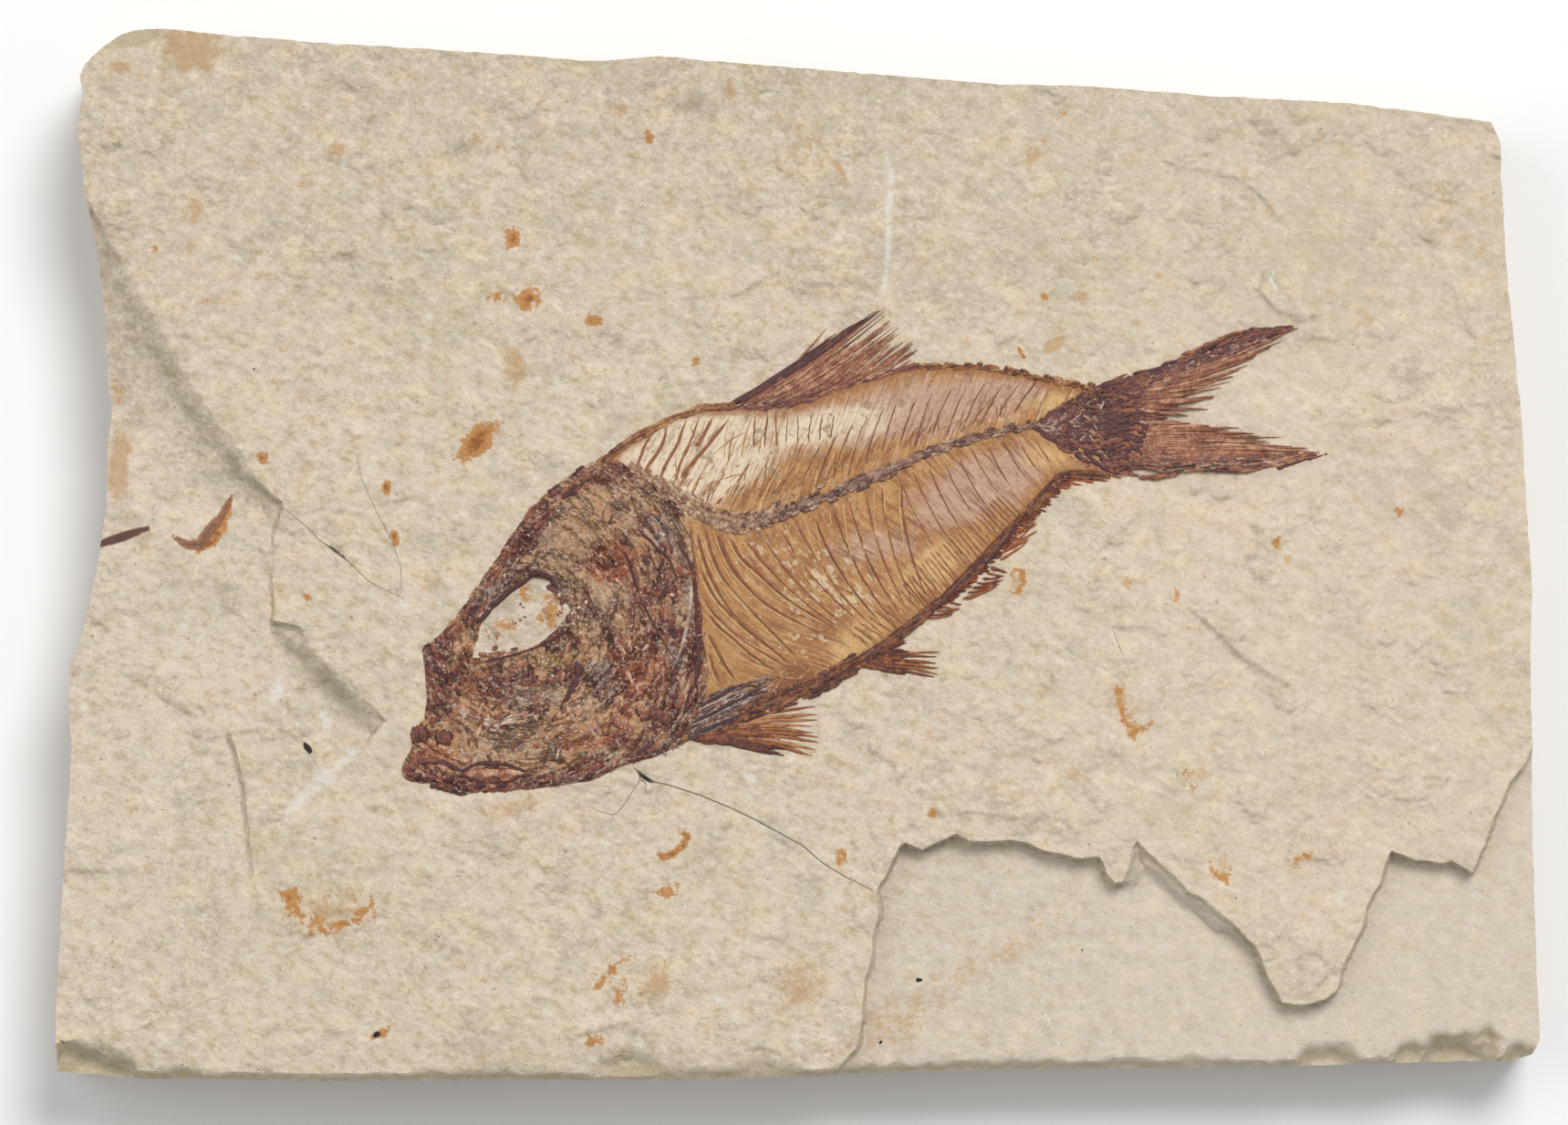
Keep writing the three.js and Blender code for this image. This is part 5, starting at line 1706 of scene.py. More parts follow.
@dataclass
class Skull(Piece):
    """The crushed skull: rings of a crust that run from the eye's rim out to the head's outline.

    r(ring) = eye + s (outline - eye), with s from 0 to 1, and a height that rises from both rims.
    """

    # Heights and strays in millimetres.
    FOLD, CREASE, CRUMB = 0.26, 0.16, 0.11
    HEADROOM = 0.08
    EYE_STRAY, HEAD_STRAY = 0.16, 0.13
    NOISE_RADIUS, COMB_RADIUS = 14, 2.4

    around: int = 560
    rings: int = 124
    tan: tuple[Spot, ...] = spots(
        (638, 578, 70, 44, 35, 1.3), (590, 812, 90, 24, 4, 0.9), (676, 664, 24, 34, 0, 0.9),
        (560, 735, 50, 18, 12, 0.5),
    )
    red: tuple[Spot, ...] = spots(
        (672, 616, 32, 24, 20, 1.2), (698, 728, 30, 42, 0, 1.3), (684, 780, 12, 22, -20, 1.1),
        (512, 718, 12, 10, 0, 0.9), (547, 847, 32, 8, 0, 1.1), (520, 750, 40, 18, 10, 0.7),
        (640, 812, 40, 14, 10, 0.6), (480, 830, 26, 16, 0, 0.8),
    )
    purple: tuple[Spot, ...] = spots(
        (718, 655, 30, 64, -12, 1.3), (768, 690, 14, 90, -4, 1.3), (665, 518, 46, 15, 14, 1.3),
        (573, 588, 48, 17, 50, 1.1), (500, 690, 60, 9, 50, 1), (478, 740, 20, 44, 0, 0.8),
        (640, 850, 120, 14, 12, 1.1), (500, 862, 64, 12, 0, 1), (724, 786, 26, 18, 20, 1),
        (540, 742, 50, 12, 8, 0.8), (592, 632, 16, 9, -20, 1.2),
    )
    slate: tuple[Spot, ...] = spots(
        (543, 642, 48, 17, 52, 1.4), (724, 588, 32, 22, -50, 1.3), (658, 740, 20, 42, 0, 1),
        (575, 766, 66, 13, 5, 1.1), (756, 664, 8, 32, 8, 1.2), (741, 716, 9, 22, 20, 1),
        (716, 820, 40, 12, 24, 0.9), (612, 640, 24, 20, 0, 0.6), (560, 820, 70, 12, 0, 0.5),
    )
    gilt: tuple[Spot, ...] = spots(
        (612, 719, 27, 14, 20, 1.1), (498, 726, 16, 10, 30, 0.5),
    )

    @staticmethod
    def height(stone: Stone) -> Ground:
        """Gives the crust's height over the stone at any place of the head."""
        head, eye, grain = Region(SKULL), Region(ORBIT), Grain(61)

        def level(x: np.ndarray, y: np.ndarray) -> np.ndarray:
            edge = np.minimum(head.depth(x, y), -eye.depth(x, y))
            folds = Skull.FOLD * (0.4 - np.abs(grain.at(x, y, 2.4, 3)))
            folds = folds + Skull.CREASE * (0.3 - np.abs(grain.at(x, y * 1.3, 1.0, 3)))
            crust = Skull.CRUMB * grain.at(x, y, 0.5, 3)
            raised = 0.06 + 0.22 * smooth(edge, 0, 0.6)
            raised = raised + (folds + crust) * smooth(edge, -0.05, 0.35)
            return np.minimum(stone.bed(x, y) + raised, SUMMIT - Skull.HEADROOM)

        return level

    def _radii(self, outline: Pixels, angles: np.ndarray) -> np.ndarray:
        """How far an outline is from the eye's middle at each angle, read between its corners."""
        corners = resampled(np.vstack([place(outline), place(outline[:1])]), 240)[:-1]
        corners = corners - place([ORBIT_MIDDLE])[0]
        bearing = np.arctan2(corners[:, 1], corners[:, 0])
        order = np.argsort(bearing)
        return np.interp(angles, bearing[order], np.hypot(*corners.T)[order], period=2 * math.pi)

    def shape(self) -> bpy.types.Object:
        """Makes the crust, with the values that its finish reads."""
        angles = np.linspace(-math.pi, math.pi, self.around, endpoint=False)
        grain = Grain(62)
        east, north = self.NOISE_RADIUS * np.cos(angles), self.NOISE_RADIUS * np.sin(angles)
        inner = self._radii(ORBIT, angles) + self.EYE_STRAY * grain.at(east, north, 2.0, 4)
        outer = self._radii(SKULL, angles) + self.HEAD_STRAY * grain.at(north, east, 1.2, 4)
        radius = inner + np.linspace(0, 1, self.rings)[:, None] * (outer - inner)
        middle = place([ORBIT_MIDDLE])[0]
        x, y = middle[0] + radius * np.cos(angles), middle[1] + radius * np.sin(angles)
        z = self.height(self.stone)(x, y)
        names = ("tan", "red", "purple", "slate", "gilt")
        values = {name: strongest(getattr(self, name), x, y) for name in names}
        turns, comb = np.broadcast_to(angles, radius.shape), self.COMB_RADIUS
        values["comb"] = np.stack([radius, comb * np.cos(turns), comb * np.sin(turns)], -1) * MM
        shell = Shell()
        shell.add(*closed_ring(np.stack([x, y, z], -1), FOSSIL_PLANE - BURIED, values))
        return shell.object(self.name)


@dataclass
class Backbone(Piece):
    """The row of vertebrae, each a short drum with a waist, crusted and uneven.

    Half breadth = w (0.8 + 0.2 |cos(pi s / pitch)|) + noise, with s along the row.
    """

    # Sizes and strays in millimetres.
    HALF_BREADTH, RISE = 0.46, 0.24
    STRAY, CRUST = 0.14, 0.09

    pitch: float = 1.0
    lift: float = 0.16
    steps: int = 1000
    section: int = 13

    def shape(self) -> bpy.types.Object:
        """Makes the row as one bar whose breadth and height follow the vertebrae."""
        line = resampled(curved(place(BACKBONE), 400), self.steps)
        length = np.hypot(*np.diff(line, axis=0).T).sum()
        s = np.linspace(0, length, self.steps)
        along = np.gradient(line, axis=0)
        along /= np.linalg.norm(along, axis=1, keepdims=True)
        across = leftwards(along)
        grain = Grain(81)
        front = smooth(s / length, 0.36, 0.28)
        taper = 1.0 - 0.55 * s / length + 0.35 * front
        drum = 0.8 + 0.2 * np.abs(np.cos(math.pi * s / self.pitch)) * (1 - front) + 0.1 * front
        line = line + across * (self.STRAY * grain.at(s, s * 0 + 80, 1.3, 3))[:, None]
        half = self.HALF_BREADTH * taper * drum * (1 + 0.8 * grain.at(s, s * 0, 1.4, 4))
        uneven = 1 + 0.5 * grain.at(s, s * 0 + 20, 0.6, 3)
        rise = self.RISE * drum * (1 - 0.5 * front) * uneven
        side, back = half_round(self.section)
        ring = len(side)
        bumps = grain.at(s[:, None] * np.ones_like(side), side[None] * 2.0 + 40, 0.4, 3)
        jitter = self.CRUST * bumps * (back > 0.1)
        plan = line[:, None] + across[:, None] * (half[:, None] * side + jitter)[..., None]
        base = self.stone.bed(line[:, 0], line[:, 1])[:, None] + self.lift
        level = np.where(back < 0, base - BURIED, base + rise[:, None] * back + jitter)
        points = np.concatenate([plan, np.minimum(level, SUMMIT)[..., None]], -1).reshape(-1, 3)
        tone = 0.3 + 0.3 * front + 0.7 * grain.at(s, s * 0 + 60, 0.7, 4)
        values = {"tone": np.repeat(tone, ring), "crown": np.tile(np.maximum(back, 0), self.steps)}
        shell = Shell()
        shell.add(points, outward(points, bar_faces(self.steps, ring)), values)
        return shell.object(self.name)


@dataclass
class Bones(Piece):
    """Many thin bones that share a ground and a finish.

    Attributes:
        sets: What the bones are and where they lie.
        ground: Height of what they lie on.
        steps: How many points each course has.
        waver: How far a course strays sideways, in millimetres.
        seed: Seed of their unevenness.
    """

    sets: tuple[Bone | Rays | Splinters, ...] = ()
    ground: Ground | None = None
    steps: int = 20
    waver: float = 0.06
    seed: int = 100

    def shape(self) -> bpy.types.Object:
        """Makes all the sets as one object of closed bars."""
        rng = np.random.default_rng(self.seed)
        ground = self.ground or self.stone.bed
        shell = Shell()
        for k, group in enumerate(self.sets):
            add_strands(shell, group.batch(rng), ground, self.steps, self.waver, self.seed + k)
        return shell.object(self.name)


# The fish's bones, read off the photograph. Splinters: two edges, count, breadth at root and tip,
# height, tone, reach, lift. Rays: roots, tips, count, breadth at root and tip, height, tone, bend,
# stray, lift. A bone: course, breadth at root and tip, height, tone, lift.
SPLINTERS = (
    Splinters(((463, 708), (506, 667), (542, 616), (563, 583), (606, 534), (649, 507), (686, 508)),
        ((492, 716), (520, 680), (550, 632), (572, 600), (612, 554), (656, 524), (700, 524)), 44,
        (5.4, 3.5), 0.07, 0.25, 0.054),
    Splinters(((560, 640), (600, 588), (656, 540), (702, 540)),
        ((632, 652), (652, 618), (688, 592), (726, 566)), 24, (4.1, 2.7), 0.05, 0.5, 0.06),
    Splinters(((650, 600), (664, 650), (664, 700), (650, 760)),
        ((692, 598), (706, 650), (716, 720), (710, 790)), 35, (4.6, 3.2), 0.06, 0.5, 0.072),
    Splinters(((700, 594), (712, 650), (724, 710), (720, 790)),
        ((752, 590), (768, 650), (776, 705), (760, 790)), 36, (5.4, 3.4), 0.07, 0.25, 0.084),
    Splinters(((500, 730), (560, 726), (606, 712), (632, 696)),
        ((480, 768), (540, 770), (600, 764), (640, 742)), 40, (4.9, 3.5), 0.06, 0.3, 0.06),
    Splinters(((470, 770), (530, 774), (600, 768), (660, 756)),
        ((462, 842), (520, 846), (600, 846), (690, 822)), 48, (4.6, 3.2), 0.06, 0.5, 0.036),
    Splinters(((446, 842), (500, 848), (600, 846), (700, 812), (766, 776)),
        ((446, 852), (500, 869), (609, 859), (717, 827), (762, 800)), 72, (5.4, 4.1), 0.07, 0.15,
        0.042),
    Splinters(((466, 708), (470, 740), (470, 790)), ((506, 722), (506, 750), (500, 796)), 40,
        (5.4, 4.1), 0.08, 0.2, 0.084),
    Splinters(((676, 760), (700, 752), (740, 740)), ((660, 830), (710, 806), (758, 780)), 35,
        (5.4, 3.5), 0.06, 0.3, 0.108),
)
HEAD_BONES = (
    Bone(((684, 600), (694, 630), (706, 664), (722, 694), (742, 724)), (4, 3), 0.08, -0.3),
    Bone(((700, 580), (716, 596), (734, 614), (744, 640)), (4, 3), 0.08, -0.2),
    Bone(((680, 762), (676, 780), (678, 798)), (14, 8), 0.08, 0.75),
    Bone(((523, 727), (556, 720), (589, 710), (612, 697), (630, 684)), (4, 4), 0.1, -0.5),
    Bone(((522, 684), (540, 663), (560, 645), (586, 629)), (5, 8), 0.1, -0.5),
    Bone(((580, 630), (592, 627), (604, 634), (614, 648)), (9, 5), 0.08, -0.6),
    Bone(((504, 846), (524, 838), (552, 837), (578, 846)), (4, 3), 0.1, 0.0),
    Bone(((504, 848), (528, 856), (556, 856), (578, 847)), (4, 3), 0.1, 0.0),
    Bone(((508, 847), (530, 847), (556, 847), (574, 847)), (12, 6), 0.08, 0.75),
    Bone(((446, 842), (466, 834), (492, 838), (508, 846)), (9, 7), 0.1, 0.1),
    Bone(((742, 590), (756, 620), (763, 656), (764, 700)), (5, 4), 0.1, 0.0),
    Bone(((764, 700), (766, 726), (760, 752), (750, 776)), (6, 5), 0.1, 0.0),
    Bone(((632, 724), (634, 740), (626, 758), (614, 776)), (8, 6), 0.08, -0.1),
    Bone(((450, 805), (460, 805), (472, 805)), (20, 20), 0.22, 0.2),
    Bone(((477, 808), (486, 808), (497, 808)), (19, 19), 0.22, 0.2),
    Bone(((444, 846), (454, 838), (464, 828)), (14, 9), 0.12, 0.35),
    Bone(((712, 778), (724, 784), (738, 790)), (20, 16), 0.08, 0.1),
)
HEAD_SHEEN = (
    Splinters(((504, 702), (530, 666), (552, 632), (568, 606)),
        ((512, 706), (540, 672), (562, 640), (578, 616)), 22, (3.9, 3.1), 0.08, 0.4, 0.042),
    Splinters(((704, 562), (722, 584), (742, 612)), ((716, 562), (734, 578), (750, 602)), 14,
        (3.9, 3.1), 0.08, 0.4, 0.096),
    Splinters(((500, 772), (560, 776), (620, 766), (670, 750)),
        ((500, 836), (560, 838), (630, 832), (690, 816)), 38, (3.9, 3.1), 0.07, 0.4, 0.02),
    Splinters(((580, 850), (650, 842), (716, 822), (748, 806)),
        ((580, 862), (650, 852), (716, 832), (752, 814)), 19, (3.9, 3.1), 0.08, 0.4, 0.024),
    Splinters(((646, 640), (652, 690), (644, 740)), ((700, 640), (712, 690), (706, 740)), 28,
        (3.4, 2.6), 0.07, 0.5, 0.036),
    Splinters(((590, 560), (640, 530), (690, 520)), ((600, 620), (660, 590), (716, 560)), 33,
        (3.4, 2.6), 0.06, 0.4, 0.03),
    Splinters(((500, 730), (560, 740), (620, 730)), ((490, 764), (560, 768), (630, 756)), 28,
        (3.9, 3.1), 0.07, 0.4, 0.024),
    Splinters(((720, 620), (742, 680), (738, 760)), ((760, 620), (774, 690), (764, 770)), 28,
        (3.4, 2.6), 0.07, 0.4, 0.03),
    Bone(((758, 636), (757, 664), (751, 696), (741, 728)), (5, 4), 0.09, 0.75),
    Splinters(((604, 690), (622, 672), (640, 654)), ((612, 700), (632, 682), (648, 664)), 16,
        (3.6, 2.8), 0.07, 0.8, 0.1),
    Splinters(((498, 772), (520, 784), (545, 788), (590, 776)),
        ((498, 780), (520, 792), (545, 796), (590, 784)), 34, (3.0, 2.2), 0.07, 0.7, 0.12),
)


def arc(middle: tuple[float, float], radius: float, start: float, stop: float) -> Pixels:
    """Gives seven pixel places along an arc, from one bearing in degrees to another."""
    turns = [math.radians(start + (stop - start) * k / 6) for k in range(7)]
    x, y = middle
    return [(x + radius * math.cos(turn), y - radius * math.sin(turn)) for turn in turns]


def beside(pixels: Pixels, down: float) -> Pixels:
    """Moves a course down the photograph by some pixels."""
    return [(x, y + down) for x, y in pixels]


EYE_BONES = (
    Splinters(arc((606, 667), 13, -60, 250), arc((606, 667), 6, -60, 250), 13, (3.5, 3), 0.04, 0.45,
        0.09),
    Splinters(arc((560, 670), 17, -110, 40), arc((560, 670), 11, -110, 40), 9, (3.5, 3), 0.04, 0.55,
        0.1),
    Splinters(((530, 690), (536, 700), (532, 712)), ((544, 684), (548, 698), (544, 712)), 7, (4, 3),
        0.04, 0.6, 0.3),
    Splinters(((524, 716), (546, 714), (566, 710)), ((526, 722), (550, 719), (570, 714)), 12,
        (4, 3), 0.05, 0.3, 0.3),
    Splinters(((604, 640), (614, 648), (622, 660)), ((600, 644), (609, 652), (616, 664)), 12,
        (4, 3), 0.06, -0.1, 0.4),
)
RIBS: tuple[Pixels, ...] = (
    ((757, 568), (758, 590), (761, 612), (766, 640)),
    ((764, 578), (770, 606), (782, 638), (808, 678), (856, 724)),
    ((773, 578), (782, 610), (798, 640), (836, 682), (892, 738)),
    ((785, 580), (797, 612), (812, 634), (846, 666), (906, 698)),
    ((798, 582), (810, 607), (830, 627), (866, 658), (918, 690)),
    ((776, 670), (788, 686), (804, 700), (826, 719), (852, 737)),
    ((777, 694), (786, 712), (794, 728), (808, 747)),
    ((778, 716), (782, 730), (790, 750)),
    ((770, 628), (784, 654), (812, 684), (840, 706), (872, 732)),
    ((768, 650), (786, 676), (812, 700), (838, 716), (862, 730)),
)
NAPE_BARS: tuple[Pixels, ...] = (
    ((694, 526), (700, 506), (707, 488), (716, 474)),
    ((702, 528), (710, 512), (724, 490), (732, 467)),
    ((722, 530), (729, 512), (742, 488), (752, 460)),
    ((740, 528), (746, 508), (757, 484), (766, 457)),
    ((746, 524), (758, 508), (778, 486), (799, 459)),
    ((762, 490), (768, 482), (775, 470), (781, 458)),
)
BELLY_BARS: tuple[Pixels, ...] = (
    ((866, 752), (876, 744), (886, 736), (892, 728)),
    ((872, 758), (882, 750), (892, 742), (898, 734)),
    ((850, 770), (852, 752), (862, 740), (876, 736)),
    ((842, 764), (846, 748), (856, 738), (866, 730)),
)
TRUNK_BONES = (
    *(Bone(line, (3.6, 2.2), 0.05, 0.2) for line in RIBS),
    # Paler copies of the ribs, shifted to one side: a painted highlight along each rib.
    *(Bone([(x - 4, y + 1) for x, y in line], (2.4, 1.6), 0.05, 1.0) for line in RIBS),
    Rays(((812, 586), (870, 572), (940, 538), (985, 518)),
        ((925, 692), (948, 690), (975, 682), (1012, 652)), 10, (3.0, 2.0), 0.045, 0.2, 0.05, 2.0),
    Rays(((812, 583), (900, 556), (985, 516)), ((880, 660), (935, 672), (1000, 640)), 12,
        (2.4, 1.4), 0.05, 1.0, 0.05, 4.0),
    Rays(((985, 520), (1040, 500), (1078, 486), (1132, 474)),
        ((1030, 604), (1068, 572), (1100, 542), (1154, 508)), 10, (1.8, 1.2), 0.05, 0.2, 0.03, 2.0),
    Rays(((875, 545), (960, 512), (1044, 478), (1110, 455)),
        ((902, 484), (980, 438), (1066, 420), (1140, 414)), 14, (1.5, 1.2), 0.06, 0.0, -0.03, 1.5),
    Rays(((826, 490), (846, 490), (910, 482)), ((828, 456), (847, 452), (912, 452)), 8, (1.6, 1.2),
        0.05, 0.1, 0.0, 1.0),
    Rays(((800, 552), (850, 545)), ((826, 500), (880, 496)), 4, (1.8, 1.2), 0.05, 0.3, -0.02, 1.5),
    Rays(((730, 530), (760, 549), (800, 556), (880, 536)),
        ((742, 512), (774, 524), (812, 532), (894, 514)), 30, (2.0, 1.2), 0.04, 0.6, -0.03, 4.0),
    Rays(((740, 524), (780, 536), (860, 524)), ((754, 500), (798, 508), (878, 494)), 18, (1.6, 1.0),
        0.03, 0.7, -0.03, 9.0),
    Rays(((750, 500), (800, 500), (880, 496)), ((762, 474), (814, 470), (892, 466)), 14, (1.5, 1.0),
        0.03, 0.8, -0.03, 10.0),
    Rays(((900, 530), (1000, 490), (1100, 458)), ((912, 506), (1012, 466), (1110, 438)), 44,
        (1.8, 1.2), 0.04, 0.5, -0.03, 8.0),
    Rays(((990, 634), (1050, 580), (1096, 541)), ((1018, 670), (1078, 608), (1120, 564)), 28,
        (1.9, 1.4), 0.06, 0.55, 0.0, 1.0),
    Rays(((930, 690), (960, 672), (990, 640)), ((958, 708), (984, 690), (1014, 666)), 12,
        (2.4, 1.6), 0.06, 0.6, 0.0, 3.0),
    *(Bone(line, (4.4, 3.0), 0.1, 0.45) for line in NAPE_BARS),
    *(Bone(line, (4.0, 3.0), 0.06, 0.7) for line in BELLY_BARS),
)
COLUMN_FRONT = (
    Splinters(beside(BACKBONE[:9], -11), beside(BACKBONE[:9], 9),
        420, (4.5, 4), 0.1, 0.5, 0.05, 0.2),
    Splinters(beside(BACKBONE[2:12], -9), beside(BACKBONE[2:12], -14),
        120, (4, 3), 0.06, 0.5, 0.05, 0.12),
)
COLUMN_REAR = (
    Splinters(beside(BACKBONE[7:14], -7), beside(BACKBONE[7:14], 8),
        150, (4.4, 3), 0.12, 0.35, 0.06, 0.27),
    Splinters(beside(BACKBONE[12:], -5), beside(BACKBONE[12:], 5),
        90, (3.6, 2.6), 0.12, 0.4, 0.07, 0.25),
)
EDGE_BONES = (
    Splinters(((640, 514), (700, 474), (760, 447), (806, 443)),
        ((646, 520), (704, 481), (762, 453), (806, 448)), 60, (4, 3), 0.08, 0.5, 0.2),
    Splinters(((1008, 399), (1077, 398), (1134, 409), (1200, 421)),
        ((1008, 406), (1077, 405), (1134, 416), (1196, 428)), 90, (4, 3), 0.08, 0.5, 0.06),
    Splinters(((826, 766), (858, 752), (896, 738), (938, 716)),
        ((782, 806), (852, 779), (896, 762), (944, 733)), 150, (5, 3), 0.08, 0.2, 0.12),
    Splinters(((940, 722), (996, 682), (1060, 626), (1112, 570)),
        ((944, 730), (1000, 690), (1066, 632), (1118, 576)), 90, (5, 3), 0.1, 0.12, 0.2),
    Splinters(((1112, 570), (1144, 538), (1165, 519), (1215, 517)),
        ((1118, 576), (1150, 544), (1170, 526), (1219, 526)), 60, (4, 3), 0.1, 0.3, 0.2),
)
UPPER_TIPS: Pixels = (
    (1418, 359), (1396, 376), (1374, 392), (1352, 412), (1336, 434), (1312, 452), (1282, 458),
)
LOWER_TIPS: Pixels = (
    (1278, 459), (1306, 465), (1342, 471), (1372, 477), (1406, 487), (1457, 498),
)
TAIL_RAYS = (
    Rays(((1192, 448), (1206, 436), (1222, 424)),
        ((1268, 454), (1296, 438), (1326, 410), (1372, 378)), 60, (4, 2.4), 0.12, 0.35, 0.01, 4.0),
    Rays(((1230, 448), (1244, 434), (1262, 418)), UPPER_TIPS[::-1], 30, (3.6, 1.9), 0.13, 0.65,
        0.02, 3.0),
    Rays(((1200, 468), (1206, 486), (1210, 508)),
        ((1262, 462), (1300, 474), (1344, 486), (1400, 497)), 60, (4, 2.4), 0.12, 0.5, -0.01, 3.0),
    Rays(((1236, 462), (1248, 476), (1256, 496)), LOWER_TIPS, 30, (3.6, 1.9), 0.13, 0.65, -0.01,
        2.5),
    Rays(((1206, 434), (1224, 419)), ((1364, 378), (1396, 365)), 12, (4, 3), 0.13, 0.2, 0.0, 1.5),
    Rays(((1206, 500), (1214, 514)), ((1390, 500), (1430, 499)), 12, (4, 3), 0.13, 0.4, 0.0, 1.5),
    Rays(((1190, 458), (1192, 474)), ((1272, 452), (1284, 466)), 16, (5, 2.4), 0.13, 0.3, 0.0, 2.0),
)
TAIL_CRUST = (
    Splinters(((1176, 440), (1223, 414), (1287, 394), (1351, 366), (1418, 358)),
        ((1186, 452), (1232, 430), (1296, 408), (1358, 380), (1412, 363)), 130, (4.5, 2.5), 0.16,
        0.1, 0.14),
    Splinters(((1164, 500), (1207, 519), (1255, 525), (1319, 516), (1384, 516), (1456, 498)),
        ((1176, 486), (1214, 502), (1262, 506), (1324, 501), (1384, 501), (1440, 494)), 110,
        (4.5, 2.5), 0.14, 0.45, 0.12),
    Splinters(((1133, 466), (1162, 446), (1194, 426), (1246, 413)),
        ((1134, 468), (1168, 467), (1210, 466), (1258, 464)), 150, (5, 4), 0.12, 0.0, 0.16, 0.13),
    Splinters(((1133, 470), (1162, 490), (1200, 512), (1246, 520)),
        ((1134, 468), (1168, 467), (1210, 466), (1258, 464)), 150, (5, 4), 0.12, 0.05, 0.16, 0.13),
    Bone(((1128, 467), (1160, 467), (1200, 467), (1250, 466)), (8, 84), 0.2, -0.05),
)
TAIL_SHEEN = (
    Splinters(((1156, 462), (1196, 440), (1290, 398), (1380, 368)),
        ((1160, 472), (1204, 470), (1300, 412), (1392, 372)), 100, (2.8, 2), 0.18, 0.3, 0.045),
    Splinters(((1140, 466), (1170, 450), (1210, 436)), ((1140, 470), (1170, 484), (1210, 500)), 70,
        (2.8, 2.2), 0.1, 0.3, 0.12, 0.2),
    Splinters(((1160, 470), (1204, 474), (1300, 500), (1420, 500)),
        ((1166, 488), (1206, 512), (1300, 516), (1420, 506)), 100, (2.8, 2), 0.18, 0.3, 0.045),
)
DORSAL_RAYS = (
    Rays(((792, 447), (814, 441)), ((908, 371), (965, 340)), 9, (5, 3), 0.15, 0.05, 0.02, 1.5),
    Rays(((806, 447), (900, 434), (962, 415)),
        ((966, 340), (971, 348), (984, 361), (974, 374), (1005, 379), (990, 388), (1001, 398)), 40,
        (3.4, 1.7), 0.13, 0.55, 0.03, 3.0),
    Rays(((822, 440), (880, 425), (940, 412)), ((905, 378), (944, 374), (972, 394)), 30, (3, 1.8),
        0.12, 0.8, 0.02, 6.0),
    Splinters(((790, 448), (866, 438), (926, 418), (1012, 398)),
        ((800, 452), (866, 448), (930, 428), (1012, 405)), 90, (5, 3), 0.11, 0.15, 0.2),
)
ANAL_RAYS = (
    Rays(((996, 684), (1040, 648), (1086, 602), (1126, 560), (1160, 525)),
        ((1012, 682), (1056, 648), (1102, 604), (1140, 562), (1174, 528)), 64, (5, 3), 0.12, 0.1,
        0.02, 1.5),
    Rays(((1056, 656), (1086, 622)), ((1092, 644), (1104, 626)), 7, (3.4, 1.6), 0.12, 0.4, 0.04,
        1.5),
    Rays(((1096, 612), (1122, 572)), ((1128, 590), (1140, 564)), 9, (3.4, 1.6), 0.12, 0.4, 0.04,
        2.0),
    Rays(((1012, 678), (1040, 660)), ((1044, 672), (1056, 662)), 5, (3, 1.6), 0.1, 0.4, 0.04, 1.5),
    Rays(((1120, 558), (1150, 530), (1180, 520)), ((1138, 568), (1168, 536), (1216, 527)), 18,
        (4, 2.4), 0.12, 0.4, 0.0, 2.0),
)
PELVIC_RAYS = (
    Rays(((938, 728), (948, 722)), ((1024, 743), (1030, 734), (1026, 724), (1031, 715)), 6, (5, 3),
        0.12, 0.4, -0.02, 0.6),
    Rays(((940, 728), (960, 712)), ((990, 738), (996, 716)), 14, (5, 4), 0.13, 0.1, 0.0, 3.0),
    Rays(((958, 716), (966, 706)), ((992, 704), (994, 698)), 4, (5, 3), 0.1, 0.1, 0.0, 1.0),
)
PECTORAL_RAYS = (
    Rays(((770, 800), (790, 806)),
        ((896, 774), (897, 786), (890, 798), (898, 811), (894, 820), (891, 829)), 9, (5.4, 3.4),
        0.13, 0.65, -0.03, 1.0),
    Rays(((752, 806), (762, 812), (776, 808)), ((838, 780), (858, 826)), 34, (5, 4), 0.12, 0.25,
        0.0, 4.0),
)
GIRDLE = (
    Splinters(((738, 786), (776, 764), (810, 750), (846, 742)),
        ((758, 812), (790, 798), (820, 784), (850, 770)), 150, (3.4, 1.8), 0.08, 0.4, 0.3, 0.1),
    Bone(((736, 796), (770, 772), (806, 754), (846, 741)), (6, 1.2), 0.12, 0.0, 0.1),
    Bone(((744, 802), (784, 780), (818, 764), (852, 756)), (6, 1.2), 0.12, -0.1, 0.1),
    Bone(((752, 808), (790, 792), (822, 780), (850, 772)), (5, 1.2), 0.12, 0.0, 0.1),
    Bone(((742, 793), (778, 772), (820, 754)), (2.5, 1.2), 0.12, 1.0, 0.14),
    Bone(((748, 800), (784, 783), (826, 764)), (2.2, 1.0), 0.1, 0.9, 0.14),
)


